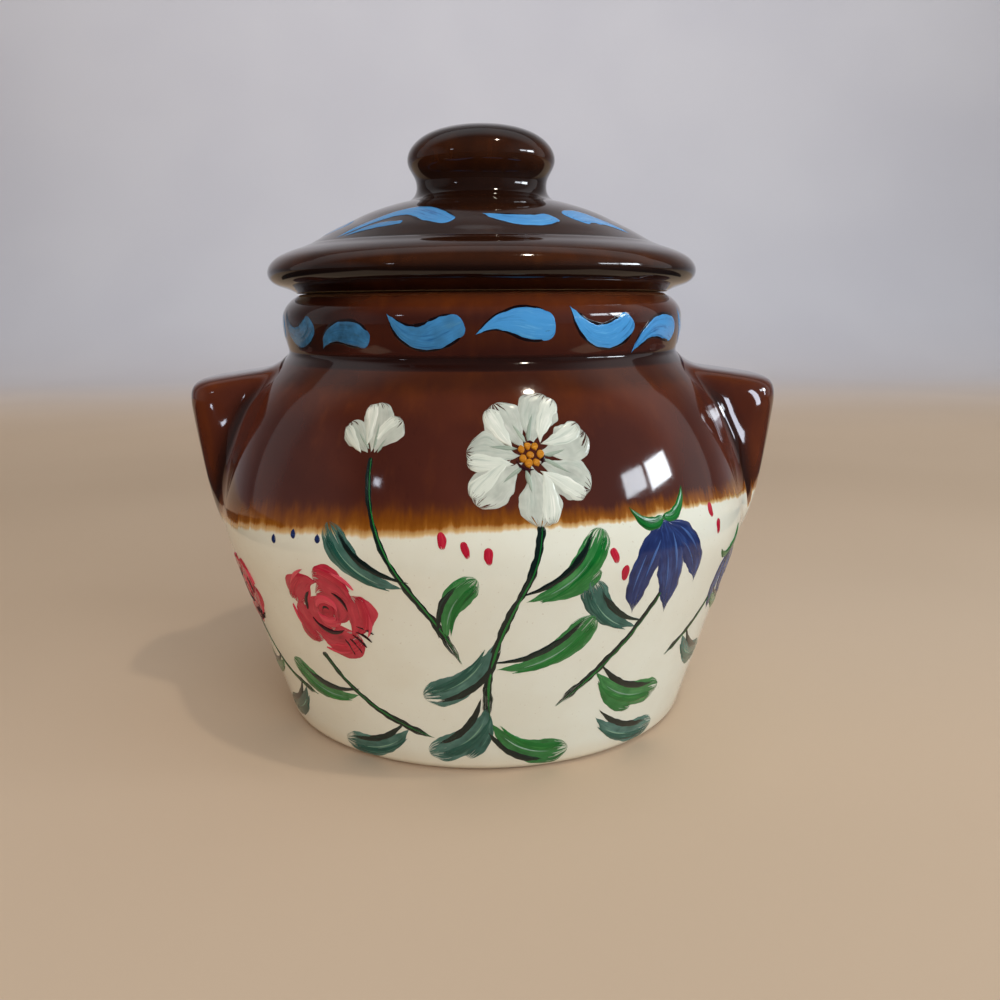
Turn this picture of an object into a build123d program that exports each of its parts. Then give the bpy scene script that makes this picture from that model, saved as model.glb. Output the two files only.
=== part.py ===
from build123d import *
import math
import os

# Stoneware bean pot with a lift-off lid.
# Millimetres, +Z up.  Origin: centre of the foot ring, on the surface the pot
# stands on.  The pot is turned about Z; the two lug handles lie on +X and -X.

# ---- driving dimensions -------------------------------------------------
overall_height = 158.9        # foot to the crown of the knob

# pot body
foot_outer_r = 53.6           # flat dry foot ring, outer edge
foot_inner_r = 44.0           # inner edge of the foot ring
foot_recess = 1.6             # shallow recess inside the ring
cone_low = (56.9, 2.4)        # radius, height where the straight cone starts
cone_high = (70.3, 46.0)      # radius, height where the cone turns into the belly
belly_r = 72.6                # largest radius
belly_z = 56.6
groove_r = 53.25              # valley between shoulder and collar
groove_z = 99.9
collar_r = 54.5               # fullest radius of the bulging collar
collar_z = 107.8
rim_top_z = 114.9             # crest of the rim
mouth_r = 46.5                # bore of the neck
floor_z = 7.0                 # inside floor
wall = 5.4                    # wall of the cone

# lid
seat_gap = 0.3                # air under the lid's land when it is on
land_z = rim_top_z + seat_gap
brim_r = 58.0                 # outer radius of the brim
brim_z = 120.7
ring_outer_r = 45.3           # locating ring inside the mouth
ring_inner_r = 41.2
ring_bottom_z = 107.8
cove_r = 46.8                 # hollow between dome and brim
cove_z = 127.7
seat_r = 19.8                 # pad that carries the knob
seat_z = 139.05

# knob
knob_neck_r = 17.65
knob_r = 19.95

# lug handles
lug_half_width = 20.0
lug_top_in = (46.0, 97.3)     # x, z of the top face, inside the body
lug_top_out = (81.3, 92.2)    # x, z of the top outer corner
lug_bulge_x = 34.0            # upright axis that the outer face bulges about
lug_sweep = math.radians(44)
lug_outer_edge_r = 5.5
lug_top_edge_r = 4.4
# outer face of a lug, from the top corner down into the belly (x, z)
lug_outer_points = [
    lug_top_out,
    (80.6, 85.6),
    (79.4, 76.0),
    (78.0, 67.0),
    (76.5, 60.5),
    (74.7, 55.0),
    (72.0, 49.0),
    (67.5, 42.0),
    (62.0, 36.0),
]
# half-width of a lug against height (y, z), from the straight sides down
lug_side_points = [
    (lug_half_width, 88.0),
    (19.7, 80.0),
    (18.3, 68.0),
    (16.0, 58.0),
    (12.6, 50.5),
    (7.6, 45.0),
    (0.0, 42.6),
]

# ---- shared profiles ----------------------------------------------------
# outside of the belly, from the top of the cone up to the groove (r, z)
belly_points = [
    cone_high,
    (71.75, 51.0),
    (belly_r, belly_z),
    (72.2, 61.6),
    (70.95, 67.2),
    (68.4, 75.6),
    (64.85, 83.9),
    (59.85, 91.9),
    (56.1, 96.3),
    (54.05, 98.5),
    (groove_r, groove_z),
]
# outside of the collar, from the groove up to the crest of the rim (r, z)
collar_points = [
    (groove_r, groove_z),
    (53.6, 101.6),
    (54.2, 104.2),
    (collar_r, collar_z),
    (54.3, 109.9),
    (53.5, 111.7),
    (52.2, 113.2),
    (50.5, 114.4),
    (48.9, rim_top_z),
]
# inside of the pot, from the floor up to the neck (r, z)
inner_points = [
    (54.1, 14.5),
    (64.9, 47.5),
    (67.1, 56.6),
    (65.5, 66.5),
    (61.6, 77.6),
    (55.6, 87.2),
    (50.2, 93.0),
    (47.3, 96.8),
    (mouth_r, 101.0),
]
# top of the lid, from the brim's edge inwards to the knob's pad (r, z)
brim_under_points = [
    (50.4, land_z),
    (52.2, 116.05),
    (54.7, 116.9),
    (56.7, 117.95),
    (brim_r - 0.25, 119.25),
    (brim_r, brim_z),
    (57.45, 122.25),
    (56.1, 123.8),
    (53.9, 125.1),
    (51.1, 126.2),
    (48.6, 127.05),
    (cove_r, cove_z),
]
dome_points = [
    (cove_r, cove_z),
    (44.7, 128.9),
    (41.2, 130.9),
    (37.2, 132.9),
    (33.5, 134.75),
    (30.6, 136.0),
    (27.5, 137.1),
    (23.6, 138.25),
    (seat_r, seat_z),
]

os.makedirs("parts", exist_ok=True)


# ---- pot body -----------------------------------------------------------
# One turned wall: foot ring, straight cone, belly, shoulder, groove, bulging
# collar and rolled rim, with a flat floor inside and a straight neck.
with BuildPart() as pot_body:
    with BuildSketch(Plane.XZ):
        with BuildLine():
            Line((0, foot_recess), (foot_inner_r - 1.2, foot_recess))
            Line((foot_inner_r - 1.2, foot_recess), (foot_inner_r, 0))
            Line((foot_inner_r, 0), (foot_outer_r, 0))
            Spline((foot_outer_r, 0), (55.7, 0.75), cone_low,
                   tangents=[(1, 0.05), (0.306, 1)],
                   tangent_scalars=[1, 1])
            Line(cone_low, cone_high)
            Spline(*belly_points, tangents=[(0.306, 1), (-0.02, 1)],
                   tangent_scalars=[1, 1])
            Spline(*collar_points, tangents=[(0.05, 1), (-1, 0.08)],
                   tangent_scalars=[1, 1])
            Spline((48.9, rim_top_z), (47.2, 114.5), (mouth_r, 112.9),
                   tangents=[(-1, -0.02), (0, -1)],
                   tangent_scalars=[1, 1])
            Line((mouth_r, 112.9), (mouth_r, 101.0))
            Spline(*reversed(inner_points),
                   tangents=[(0, -1), (-0.31, -1)],
                   tangent_scalars=[1, 1])
            Spline((54.1, 14.5), (51.0, 9.3), (45.0, floor_z),
                   tangents=[(-0.31, -1), (-1, 0)],
                   tangent_scalars=[1, 1])
            Line((45.0, floor_z), (0, floor_z))
            Line((0, floor_z), (0, foot_recess))
        make_face()
    revolve(axis=Axis.Z)
pot_body.part.label = "pot_body"

# solid turned envelope of the pot's outside, used to shape the lug roots
with BuildPart() as envelope:
    with BuildSketch(Plane.XZ):
        with BuildLine():
            Line((0, 2.4), cone_low)
            Line(cone_low, cone_high)
            Spline(*belly_points, tangents=[(0.306, 1), (-0.02, 1)],
                   tangent_scalars=[1, 1])
            Line((groove_r, groove_z), (0, groove_z))
            Line((0, groove_z), (0, 2.4))
        make_face()
    revolve(axis=Axis.Z)


# ---- lug handles --------------------------------------------------------
# A tab with a nearly level top.  Its outer face bulges in plan and runs down
# and in until it dies into the belly, and its sides draw in to a rounded tail.
# Its root is cut to the belly's own surface.
lug_start = Plane(origin=(lug_bulge_x, 0, 0),
                  x_dir=(math.cos(lug_sweep), -math.sin(lug_sweep), 0),
                  z_dir=(-math.sin(lug_sweep), -math.cos(lug_sweep), 0))
with BuildPart() as lug_handle_right:
    # section through the tab, swung about an upright axis inside the pot
    with BuildSketch(lug_start):
        with BuildLine():
            Polyline((46.0 - lug_bulge_x, 36.0),
                     (lug_top_in[0] - lug_bulge_x, lug_top_in[1]),
                     (lug_top_out[0] - lug_bulge_x, lug_top_out[1]))
            Spline([(x - lug_bulge_x, z) for x, z in lug_outer_points])
            Line((lug_outer_points[-1][0] - lug_bulge_x,
                  lug_outer_points[-1][1]), (46.0 - lug_bulge_x, 36.0))
        make_face()
    revolve(axis=Axis((lug_bulge_x, 0, 0), (0, 0, 1)),
            revolution_arc=2 * math.degrees(lug_sweep))
    # front view of the tab, seen along X: straight above, drawn in below
    with BuildSketch(Plane.YZ):
        with BuildLine():
            Line((lug_half_width, 104.0), (-lug_half_width, 104.0))
            Line((-lug_half_width, 104.0), (-lug_half_width, 88.0))
            Spline([(-y, z) for y, z in lug_side_points]
                   + [(y, z) for y, z in reversed(lug_side_points[:-1])],
                   tangents=[(0, -1), (0, 1)], tangent_scalars=[1, 1])
            Line((lug_half_width, 88.0), (lug_half_width, 104.0))
        make_face()
    extrude(amount=120.0, mode=Mode.INTERSECT)
    # the upright outer edges, down both sides and round the tail
    fillet(lug_handle_right.edges().filter_by(
        lambda e: e.length > 40 and e.center().X > 66.0
        and e.bounding_box().size.Z > 30), radius=lug_outer_edge_r)
    # the edge all round the top face
    fillet(lug_handle_right.faces().sort_by(Axis.Z)[-1].edges().filter_by(
        lambda e: e.center().X > 47.0), radius=lug_top_edge_r)
    add(envelope.part, mode=Mode.SUBTRACT)
lug_handle_right.part.label = "lug_handle_right"

with BuildPart() as lug_handle_left:
    mirror(lug_handle_right.part, about=Plane.YZ)
lug_handle_left.part.label = "lug_handle_left"


# ---- lid ----------------------------------------------------------------
# Dome, cove and rolled brim above a flat land and a locating ring.
with BuildPart() as lid:
    with BuildSketch(Plane.XZ):
        with BuildLine():
            Line((0, seat_z), (seat_r, seat_z))
            Spline(*reversed(dome_points),
                   tangents=[(1, -0.16), (1, -0.58)],
                   tangent_scalars=[1, 1])
            Spline(*reversed(brim_under_points),
                   tangents=[(1, -0.22), (-1, -0.42)],
                   tangent_scalars=[1, 1])
            Line((50.4, land_z), (ring_outer_r + 0.5, land_z))
            Line((ring_outer_r + 0.5, land_z), (ring_outer_r, land_z - 0.5))
            Line((ring_outer_r, land_z - 0.5),
                 (ring_outer_r - 0.5, ring_bottom_z + 1.2))
            ThreePointArc((ring_outer_r - 0.5, ring_bottom_z + 1.2),
                          ((ring_outer_r + ring_inner_r) / 2, ring_bottom_z),
                          (ring_inner_r, ring_bottom_z + 1.2))
            Line((ring_inner_r, ring_bottom_z + 1.2), (ring_inner_r, 117.5))
            Spline((ring_inner_r, 117.5), (39.6, 122.3), (35.0, 126.8),
                   (28.0, 130.7), (19.0, 133.2), (0, 134.2),
                   tangents=[(0, 1), (-1, 0)],
                   tangent_scalars=[1, 1])
            Line((0, 134.2), (0, seat_z))
        make_face()
    revolve(axis=Axis.Z)
lid.part.label = "lid"


# ---- lid knob -----------------------------------------------------------
# Solid flattened ball on a short waisted neck with a flared foot.
with BuildPart() as lid_knob:
    with BuildSketch(Plane.XZ):
        with BuildLine():
            Line((0, seat_z), (seat_r, seat_z))
            Spline((seat_r, seat_z), (18.55, 139.95), (17.85, 141.15),
                   (knob_neck_r, 143.0), (17.95, 145.0), (18.95, 147.0),
                   (19.75, 148.65), (knob_r, 150.1), (19.55, 151.85),
                   (18.2, 153.9), (15.9, 155.8), (12.6, 157.3),
                   (7.6, 158.45), (0, overall_height),
                   tangents=[(-1, 0.35), (-1, 0)],
                   tangent_scalars=[1, 1])
            Line((0, overall_height), (0, seat_z))
        make_face()
    revolve(axis=Axis.Z)
lid_knob.part.label = "lid_knob"


# ---- files --------------------------------------------------------------
for piece in (pot_body, lug_handle_left, lug_handle_right, lid, lid_knob):
    export_step(piece.part, "parts/" + piece.part.label + ".step")
    box = piece.part.bounding_box()
    print(piece.part.label, "valid", piece.part.is_valid,
          "volume cm3", round(piece.part.volume / 1000, 2),
          "size", [round(v, 2) for v in box.size])
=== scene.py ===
import bpy
import math
import numpy as np
from mathutils import Vector, Matrix


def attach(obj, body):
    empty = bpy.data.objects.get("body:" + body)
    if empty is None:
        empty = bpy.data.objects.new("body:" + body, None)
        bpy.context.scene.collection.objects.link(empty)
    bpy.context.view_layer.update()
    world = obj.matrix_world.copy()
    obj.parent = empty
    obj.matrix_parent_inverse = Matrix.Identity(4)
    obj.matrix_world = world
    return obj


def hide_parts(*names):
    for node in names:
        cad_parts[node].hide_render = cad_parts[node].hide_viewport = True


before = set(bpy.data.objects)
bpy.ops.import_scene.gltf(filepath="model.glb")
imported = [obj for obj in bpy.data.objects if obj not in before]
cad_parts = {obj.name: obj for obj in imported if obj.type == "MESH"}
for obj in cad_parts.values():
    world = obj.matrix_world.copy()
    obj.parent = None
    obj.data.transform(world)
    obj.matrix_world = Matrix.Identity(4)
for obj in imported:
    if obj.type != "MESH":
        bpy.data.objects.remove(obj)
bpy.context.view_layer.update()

MM = 0.001
rng = np.random.default_rng(20417)
scene = bpy.context.scene
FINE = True

# =====================================================================
# Profiles, in millimetres.  They repeat the turned outlines of the CAD
# nodes they stand for, at a finer step.
# =====================================================================
cone_low, cone_high = (56.9, 2.4), (70.3, 46.0)
rim_top_z, mouth_r, floor_z = 114.9, 46.5, 7.0
groove_r, groove_z = 53.25, 99.9
land_z = rim_top_z + 0.3
belly_points = [
    cone_high, (71.75, 51.0), (72.6, 56.6), (72.2, 61.6), (70.95, 67.2),
    (68.4, 75.6), (64.85, 83.9), (59.85, 91.9), (56.1, 96.3), (54.05, 98.5),
    (groove_r, groove_z)]
collar_points = [
    (groove_r, groove_z), (53.6, 101.6), (54.2, 104.2), (54.5, 107.8),
    (54.3, 109.9), (53.5, 111.7), (52.2, 113.2), (50.5, 114.4),
    (48.9, rim_top_z)]
inner_points = [
    (54.1, 14.5), (64.9, 47.5), (67.1, 56.6), (65.5, 66.5), (61.6, 77.6),
    (55.6, 87.2), (50.2, 93.0), (47.3, 96.8), (mouth_r, 101.0)]
brim_points = [
    (50.4, land_z), (52.2, 116.05), (54.7, 116.9), (56.7, 117.95),
    (57.75, 119.25), (58.0, 120.7), (57.45, 122.25), (56.1, 123.8),
    (53.9, 125.1), (51.1, 126.2), (48.6, 127.05), (46.8, 127.7)]
dome_points = [
    (46.8, 127.7), (44.7, 128.9), (41.2, 130.9), (37.2, 132.9),
    (33.5, 134.75), (30.6, 136.0), (27.5, 137.1), (23.6, 138.25),
    (19.8, 139.05)]
seat_z, crown_z = 139.05, 158.9
lug_outer = [
    (81.3, 92.2), (80.6, 85.6), (79.4, 76.0), (78.0, 67.0), (76.5, 60.5),
    (74.7, 55.0), (72.0, 49.0), (67.5, 42.0), (62.0, 36.0)]
lug_side = [(20.0, 88.0), (19.7, 80.0), (18.3, 68.0), (16.0, 58.0),
            (12.6, 50.5), (7.6, 45.0), (0.0, 42.6)]


def curve(points, t0=None, t1=None, step=0.5):
    """Clamped cubic spline through points, chord-length parameter."""
    p = np.array(points, float)
    n = len(p)
    h = np.linalg.norm(np.diff(p, axis=0), axis=1)
    a = np.zeros((n, n))
    b = np.zeros((n, 2))
    for i in range(1, n - 1):
        a[i, i - 1], a[i, i + 1] = h[i], h[i - 1]
        a[i, i] = 2 * (h[i - 1] + h[i])
        b[i] = 3 * (h[i] * (p[i] - p[i - 1]) / h[i - 1]
                    + h[i - 1] * (p[i + 1] - p[i]) / h[i])
    if t0 is None:
        a[0, 0], a[0, 1] = 2, 1
        b[0] = 3 * (p[1] - p[0]) / h[0]
    else:
        a[0, 0] = 1
        b[0] = np.array(t0) / np.linalg.norm(t0)
    if t1 is None:
        a[-1, -1], a[-1, -2] = 2, 1
        b[-1] = 3 * (p[-1] - p[-2]) / h[-1]
    else:
        a[-1, -1] = 1
        b[-1] = np.array(t1) / np.linalg.norm(t1)
    m = np.linalg.solve(a, b)
    out = []
    for i in range(n - 1):
        k = max(2, int(math.ceil(h[i] / step)))
        t = np.arange(k)[:, None] / k
        t2, t3 = t * t, t * t * t
        out.append((2 * t3 - 3 * t2 + 1) * p[i] + (t3 - 2 * t2 + t) * h[i] * m[i]
                   + (-2 * t3 + 3 * t2) * p[i + 1] + (t3 - t2) * h[i] * m[i + 1])
    out.append(p[-1:])
    return np.concatenate(out)


def line(a, b, step=0.7):
    n = max(1, int(math.ceil(math.dist(a, b) / step)))
    t = np.arange(n + 1)[:, None] / n
    return (1 - t) * np.array(a, float) + t * np.array(b, float)


def chain(*parts):
    out = [parts[0]]
    for q in parts[1:]:
        out.append(q[1:] if np.allclose(q[0], out[-1][-1], atol=1e-6) else q)
    return np.concatenate(out)


def smooth(x, lo, hi):
    t = np.clip((np.asarray(x, float) - lo) / (hi - lo), 0, 1)
    return t * t * (3 - 2 * t)


belly = curve(belly_points, (0.306, 1), (-0.02, 1))
collar = curve(collar_points, (0.05, 1), (-1, 0.08), step=0.35)
body_out = chain(
    curve([(53.6, 0), (55.7, 0.75), cone_low], (1, 0.05), (0.306, 1), step=0.25),
    line(cone_low, cone_high), belly, collar)
body_in = chain(
    curve([(48.9, rim_top_z), (47.2, 114.5), (mouth_r, 112.9)],
          (-1, -0.02), (0, -1), step=0.3),
    line((mouth_r, 112.9), (mouth_r, 101.0)),
    curve(inner_points[::-1], (0, -1), (-0.31, -1), step=0.9),
    curve([(54.1, 14.5), (51.0, 9.3), (45.0, floor_z)],
          (-0.31, -1), (-1, 0), step=0.6),
    line((45.0, floor_z), (0, floor_z), step=3.0))
foot = chain(line((0, 1.6), (42.8, 1.6), step=3.0),
             line((42.8, 1.6), (44.0, 0.0), step=0.4),
             line((44.0, 0.0), (53.6, 0), step=1.2))

# radius of the pot's outside against height, foot to crest
z_tab = body_out[:, 1]
keep = np.concatenate([[True], np.diff(z_tab) > 1e-6])
z_tab, r_tab = z_tab[keep], body_out[keep, 0]
slope_tab = np.gradient(r_tab, z_tab)


def wobble(theta, z):
    """Slight out-of-round of a hand-finished pot, in mm (0 at foot, rim, lugs)."""
    w = (0.10 * np.sin(2 * theta + 0.7 + z / 31.0)
         + 0.06 * np.sin(3 * theta + 2.1 - z / 17.0)
         + 0.035 * np.sin(5 * theta + 0.4 + z / 9.0)
         + 0.02 * np.sin(9 * theta + 1.4 - z / 6.0))
    side = np.abs(np.sin(theta))
    return (w * smooth(z, 3, 14) * (1 - smooth(z, 96, 101))
            * (1 - smooth(side, 0.72, 0.90)))


def body_r(theta, z):
    return np.interp(z, z_tab, r_tab) + wobble(theta, z)


# =====================================================================
# Mesh helpers
# =====================================================================
def make_mesh(name, verts, faces, attrs=None, uv=None, smooth_shade=True):
    me = bpy.data.meshes.new(name)
    me.from_pydata([tuple(v) for v in (np.asarray(verts) * MM)], [],
                   [tuple(int(i) for i in f) for f in faces])
    me.validate(clean_customdata=False)
    for key, values in (attrs or {}).items():
        a = me.attributes.new(key, "FLOAT", "POINT")
        a.data.foreach_set("value", np.asarray(values, np.float32))
    if uv is not None:
        layer = me.uv_layers.new(name="UVMap")
        idx = np.empty(len(me.loops), np.int32)
        me.loops.foreach_get("vertex_index", idx)
        layer.data.foreach_set("uv", np.asarray(uv, np.float32)[idx].ravel())
    if smooth_shade:
        me.polygons.foreach_set("use_smooth", np.ones(len(me.polygons), bool))
    me.update()
    ob = bpy.data.objects.new(name, me)
    scene.collection.objects.link(ob)
    return ob


def turned(name, prof, nseg, attrs, shift=None):
    """Closed solid of revolution from a (r, z) outline that starts and ends on the axis."""
    prof = np.asarray(prof, float)
    n = len(prof)
    th = np.arange(nseg) * 2 * math.pi / nseg
    r = prof[1:-1, 0][:, None] + np.zeros(nseg)
    z = prof[1:-1, 1][:, None] + np.zeros(nseg)
    if shift is not None:
        r = r + shift(th[None, :], z, np.arange(1, n - 1)[:, None])
    x, y = r * np.sin(th), -r * np.cos(th)
    v = np.stack([x, y, z], -1).reshape(-1, 3)
    v = np.concatenate([[[0, 0, prof[0, 1]]], v, [[0, 0, prof[-1, 1]]]])
    rows = n - 2
    i = np.arange(rows - 1)[:, None] * nseg + 1
    j = np.arange(nseg)[None, :]
    k = (j + 1) % nseg
    quads = np.stack([i + j, i + k, i + nseg + k, i + nseg + j], -1).reshape(-1, 4)
    faces = [tuple(q) for q in quads]
    last = len(v) - 1
    base = (rows - 1) * nseg + 1
    for a in range(nseg):
        b = (a + 1) % nseg
        faces.append((0, 1 + b, 1 + a))
        faces.append((base + a, base + b, last))
    full = {}
    for key, val in attrs.items():
        val = np.asarray(val, float)
        full[key] = np.concatenate([[val[0]], np.repeat(val[1:-1], nseg), [val[-1]]])
    return make_mesh(name, v, faces, full)


def convexity(prof, span=5):
    """Signed curvature of an outline (1/mm), positive where it bulges outwards."""
    p = np.asarray(prof, float)
    s = np.concatenate([[0], np.cumsum(np.linalg.norm(np.diff(p, axis=0), axis=1))])
    s = s + np.arange(len(s)) * 1e-9
    dx, dz = np.gradient(p[:, 0], s), np.gradient(p[:, 1], s)
    ang = np.unwrap(np.arctan2(dz, dx))
    k = np.gradient(ang, s)
    out = np.zeros(len(k))
    for i in range(len(k)):
        w = np.exp(-((s - s[i]) / 0.9) ** 2)
        out[i] = (w * k).sum() / w.sum()
    return out


# =====================================================================
# Pot body
# =====================================================================
pot_prof = chain(foot, body_out, body_in)
nf, no = len(foot), len(body_out)
curv = convexity(pot_prof)
is_out = np.zeros(len(pot_prof))
is_out[nf - 1:nf - 1 + no] = 1
pz = pot_prof[:, 1]
shoulder = smooth(pz, 90.5, 94.5) * (1 - smooth(pz, 96.8, 97.3))
thin = (0.38 * smooth(pz, 109.0, 112.5) + 0.45 * shoulder
        + 0.22 * smooth(pz, 84.0, 91.0) * (1 - smooth(pz, 91.5, 94.5))
        + 0.15 * smooth(pz, 101.0, 104.0) * (1 - smooth(pz, 106.0, 109.0)))
# darker brown in the hollows above z 90: partly pooled glaze, partly painted shade
pool_and_shade = np.clip((-curv - 0.05) / 0.35, 0, 1)
pool_and_shade = np.where(pot_prof[:, 1] > 90, pool_and_shade, 0.0)
# painted shade of the lid over the collar
pool_and_shade = np.maximum(pool_and_shade, 0.34 * smooth(pz, 98.5, 101.0) * (1 - smooth(pz, 108.0, 111.5)))
# painted shade on the shoulder under the collar
pool_and_shade = np.maximum(pool_and_shade, 0.55 * shoulder)
# painted shade in the hollow between collar and shoulder
pool_and_shade = np.maximum(pool_and_shade, 0.92 * smooth(pz, 96.9, 97.4) * (1 - smooth(pz, 99.9, 100.9)))
inside = np.zeros(len(pot_prof))
inside[nf - 1 + no:] = 1
bare = ((pot_prof[:, 1] < 0.5) & (pot_prof[:, 0] > 43.5)).astype(float)

NSEG = 384 if FINE else 192
out_index = is_out.astype(bool)


def pot_shift(th, z, row):
    return np.where(out_index[row], wobble(th, z), 0.0)


pot = turned("pot_body_glazed", pot_prof, NSEG,
             {"thin": thin, "pool_and_shade": pool_and_shade, "inside": inside, "bare": bare}, pot_shift)
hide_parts("pot_body")
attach(pot, "pot")

# =====================================================================
# Lid and knob
# =====================================================================
lid_top = chain(curve(dome_points[::-1], (1, -0.16), (1, -0.58), step=0.5),
                curve(brim_points[::-1], (1, -0.22), (-1, -0.42), step=0.35))
lid_prof = chain(
    line((0, seat_z), (19.8, seat_z), step=3.0), lid_top,
    line((50.4, land_z), (45.8, land_z), step=0.8),
    line((45.8, land_z), (45.3, land_z - 0.5), step=0.3),
    line((45.3, land_z - 0.5), (44.8, 109.0), step=0.9),
    curve([(44.8, 109.0), (43.1, 107.8), (41.2, 109.0)], (0, -1), (0, 1), step=0.25),
    line((41.2, 109.0), (41.2, 117.5), step=0.9),
    curve([(41.2, 117.5), (39.6, 122.3), (35.0, 126.8), (28.0, 130.7),
           (19.0, 133.2), (0, 134.2)], (0, 1), (-1, 0), step=1.2))
lc = -convexity(lid_prof)
lid_is_top = np.zeros(len(lid_prof))
lid_is_top[:len(line((0, seat_z), (19.8, seat_z), step=3.0)) + len(lid_top) - 2] = 1
lid_thin = np.where((lid_prof[:, 0] > 50) & (lid_prof[:, 1] > 116),
                    0.14 * smooth(lid_prof[:, 1], 119.5, 122.5) * (1 - smooth(lid_prof[:, 1], 124.0, 126.3)), 0.0)
# darker in the hollow between dome and brim: partly pooled glaze, partly painted shade
lid_pool_and_shade = np.where(lid_prof[:, 1] > 124, np.clip((-lc - 0.02) / 0.20, 0, 1), 0.0)
# painted shade on the underside of the brim
lid_pool_and_shade = np.maximum(lid_pool_and_shade, 0.95 * (lid_prof[:, 0] > 50.3) * (1 - smooth(lid_prof[:, 1], 119.0, 121.8)))
lid_bare = ((lid_prof[:, 0] > 44) & (lid_prof[:, 0] < 50.5)
            & (lid_prof[:, 1] > 114) & (lid_prof[:, 1] < 115.4)).astype(float)


def lid_shift(th, z, row):
    w = (0.05 * np.sin(2 * th + 1.9) + 0.035 * np.sin(3 * th - 0.6 + z / 12.0)
         + 0.02 * np.sin(6 * th + z / 5.0))
    return w * smooth(z, 117.0, 121.0) * (1 - smooth(z, 137.0, 138.8)) * lid_is_top[row]


lid = turned("lid_glazed", lid_prof[::-1], NSEG,
             {"thin": lid_thin[::-1], "pool_and_shade": lid_pool_and_shade[::-1],
              "inside": np.ones(len(lid_prof)), "bare": lid_bare[::-1]},
             lambda th, z, row: lid_shift(th, z, len(lid_prof) - 1 - row))
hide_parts("lid")
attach(lid, "lid")

knob_prof = chain(
    line((0, 138.2), (21.6, 138.2), step=3.0),
    line((21.6, 138.2), (21.9, 138.60), step=0.3),
    curve([(21.9, 138.60), (20.2, 139.15), (18.75, 140.15), (17.95, 141.4),
           (17.65, 143.0), (17.95, 145.0), (18.95, 147.0), (19.75, 148.65),
           (19.95, 150.1), (19.55, 151.85), (18.2, 153.9), (15.9, 155.8),
           (12.6, 157.3), (7.6, 158.45), (0, crown_z)], (-1, 0.25), (-1, 0), step=0.35))
kc = convexity(knob_prof)
knob_thin = 0.16 * smooth(knob_prof[:, 1], 145.0, 148.5) * (1 - smooth(knob_prof[:, 1], 151.5, 155.5))
# darker in the hollow of the neck under the bulb: partly pooled glaze, partly painted shade
knob_pool_and_shade = np.where(knob_prof[:, 1] < 146, np.clip((-kc - 0.05) / 0.35, 0, 1), 0.0)
# the whole knob darker, most towards the crown
knob_pool_and_shade = np.maximum(knob_pool_and_shade, 0.28 + 0.30 * smooth(knob_prof[:, 1], 152.0, 157.0))
knob = turned("lid_knob_glazed", knob_prof, NSEG // 2,
              {"thin": knob_thin, "pool_and_shade": knob_pool_and_shade,
               "inside": np.ones(len(knob_prof)), "bare": np.zeros(len(knob_prof))},
              lambda th, z, row: (0.07 * np.sin(2 * th + 0.5) + 0.04 * np.sin(3 * th + z / 5.0))
              * smooth(z, 139.6, 143.0))
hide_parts("lid_knob")
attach(knob, "lid")

# =====================================================================
# Lug handles: an implicit tab joined to the belly with a soft root
# =====================================================================
lo = curve(lug_outer, step=0.5)
lo = lo[np.argsort(lo[:, 1])]
ls = curve(lug_side, (0, -1), (-1, -0.05), step=0.4)
ls = ls[np.argsort(ls[:, 1])]


def smax3(a, b, k):
    h = np.maximum(k - np.abs(a - b), 0) / k
    return np.maximum(a, b) + h * h * h * k / 6


def smin3(a, b, k):
    h = np.maximum(k - np.abs(a - b), 0) / k
    return np.minimum(a, b) - h * h * h * k / 6


def body_sdf(p):
    r = np.hypot(p[:, 0], p[:, 1])
    th = np.arctan2(p[:, 0], -p[:, 1])
    s = np.interp(p[:, 2], z_tab, slope_tab)
    return (r - body_r(th, p[:, 2])) / np.sqrt(1 + s * s)


def lug_sdf(p):
    x, y, z = p[:, 0], p[:, 1], p[:, 2]
    top = (z - (92.2 + (81.3 - x) * 0.146 - 0.0016 * y * y)) * 0.985
    rho = np.hypot(x - 34.0, y)
    zc = np.clip(z, 36.5, 96)
    out = (rho - (np.interp(zc, lo[:, 1], lo[:, 0]) - 34.0)) * 0.965
    half = np.interp(np.clip(z, 42.7, 88), ls[:, 1], ls[:, 0]) + np.maximum(z - 88, 0) * 0.02
    tail = np.where(z < 42.7, (42.7 - z), 0)
    side = (np.abs(y) - half) * (0.90 + 0.08 * smooth(z, 54, 80)) + tail
    f = smax3(out, side, 10.5)
    return smax3(f, top, 8.6)


def union_sdf(p):
    z = p[:, 2]
    k = 5.0 + 5.0 * (1 - smooth(z, 84, 95)) - 3.5 * (1 - smooth(z, 44, 66))
    return smin3(body_sdf(p), lug_sdf(p), k)


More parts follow.
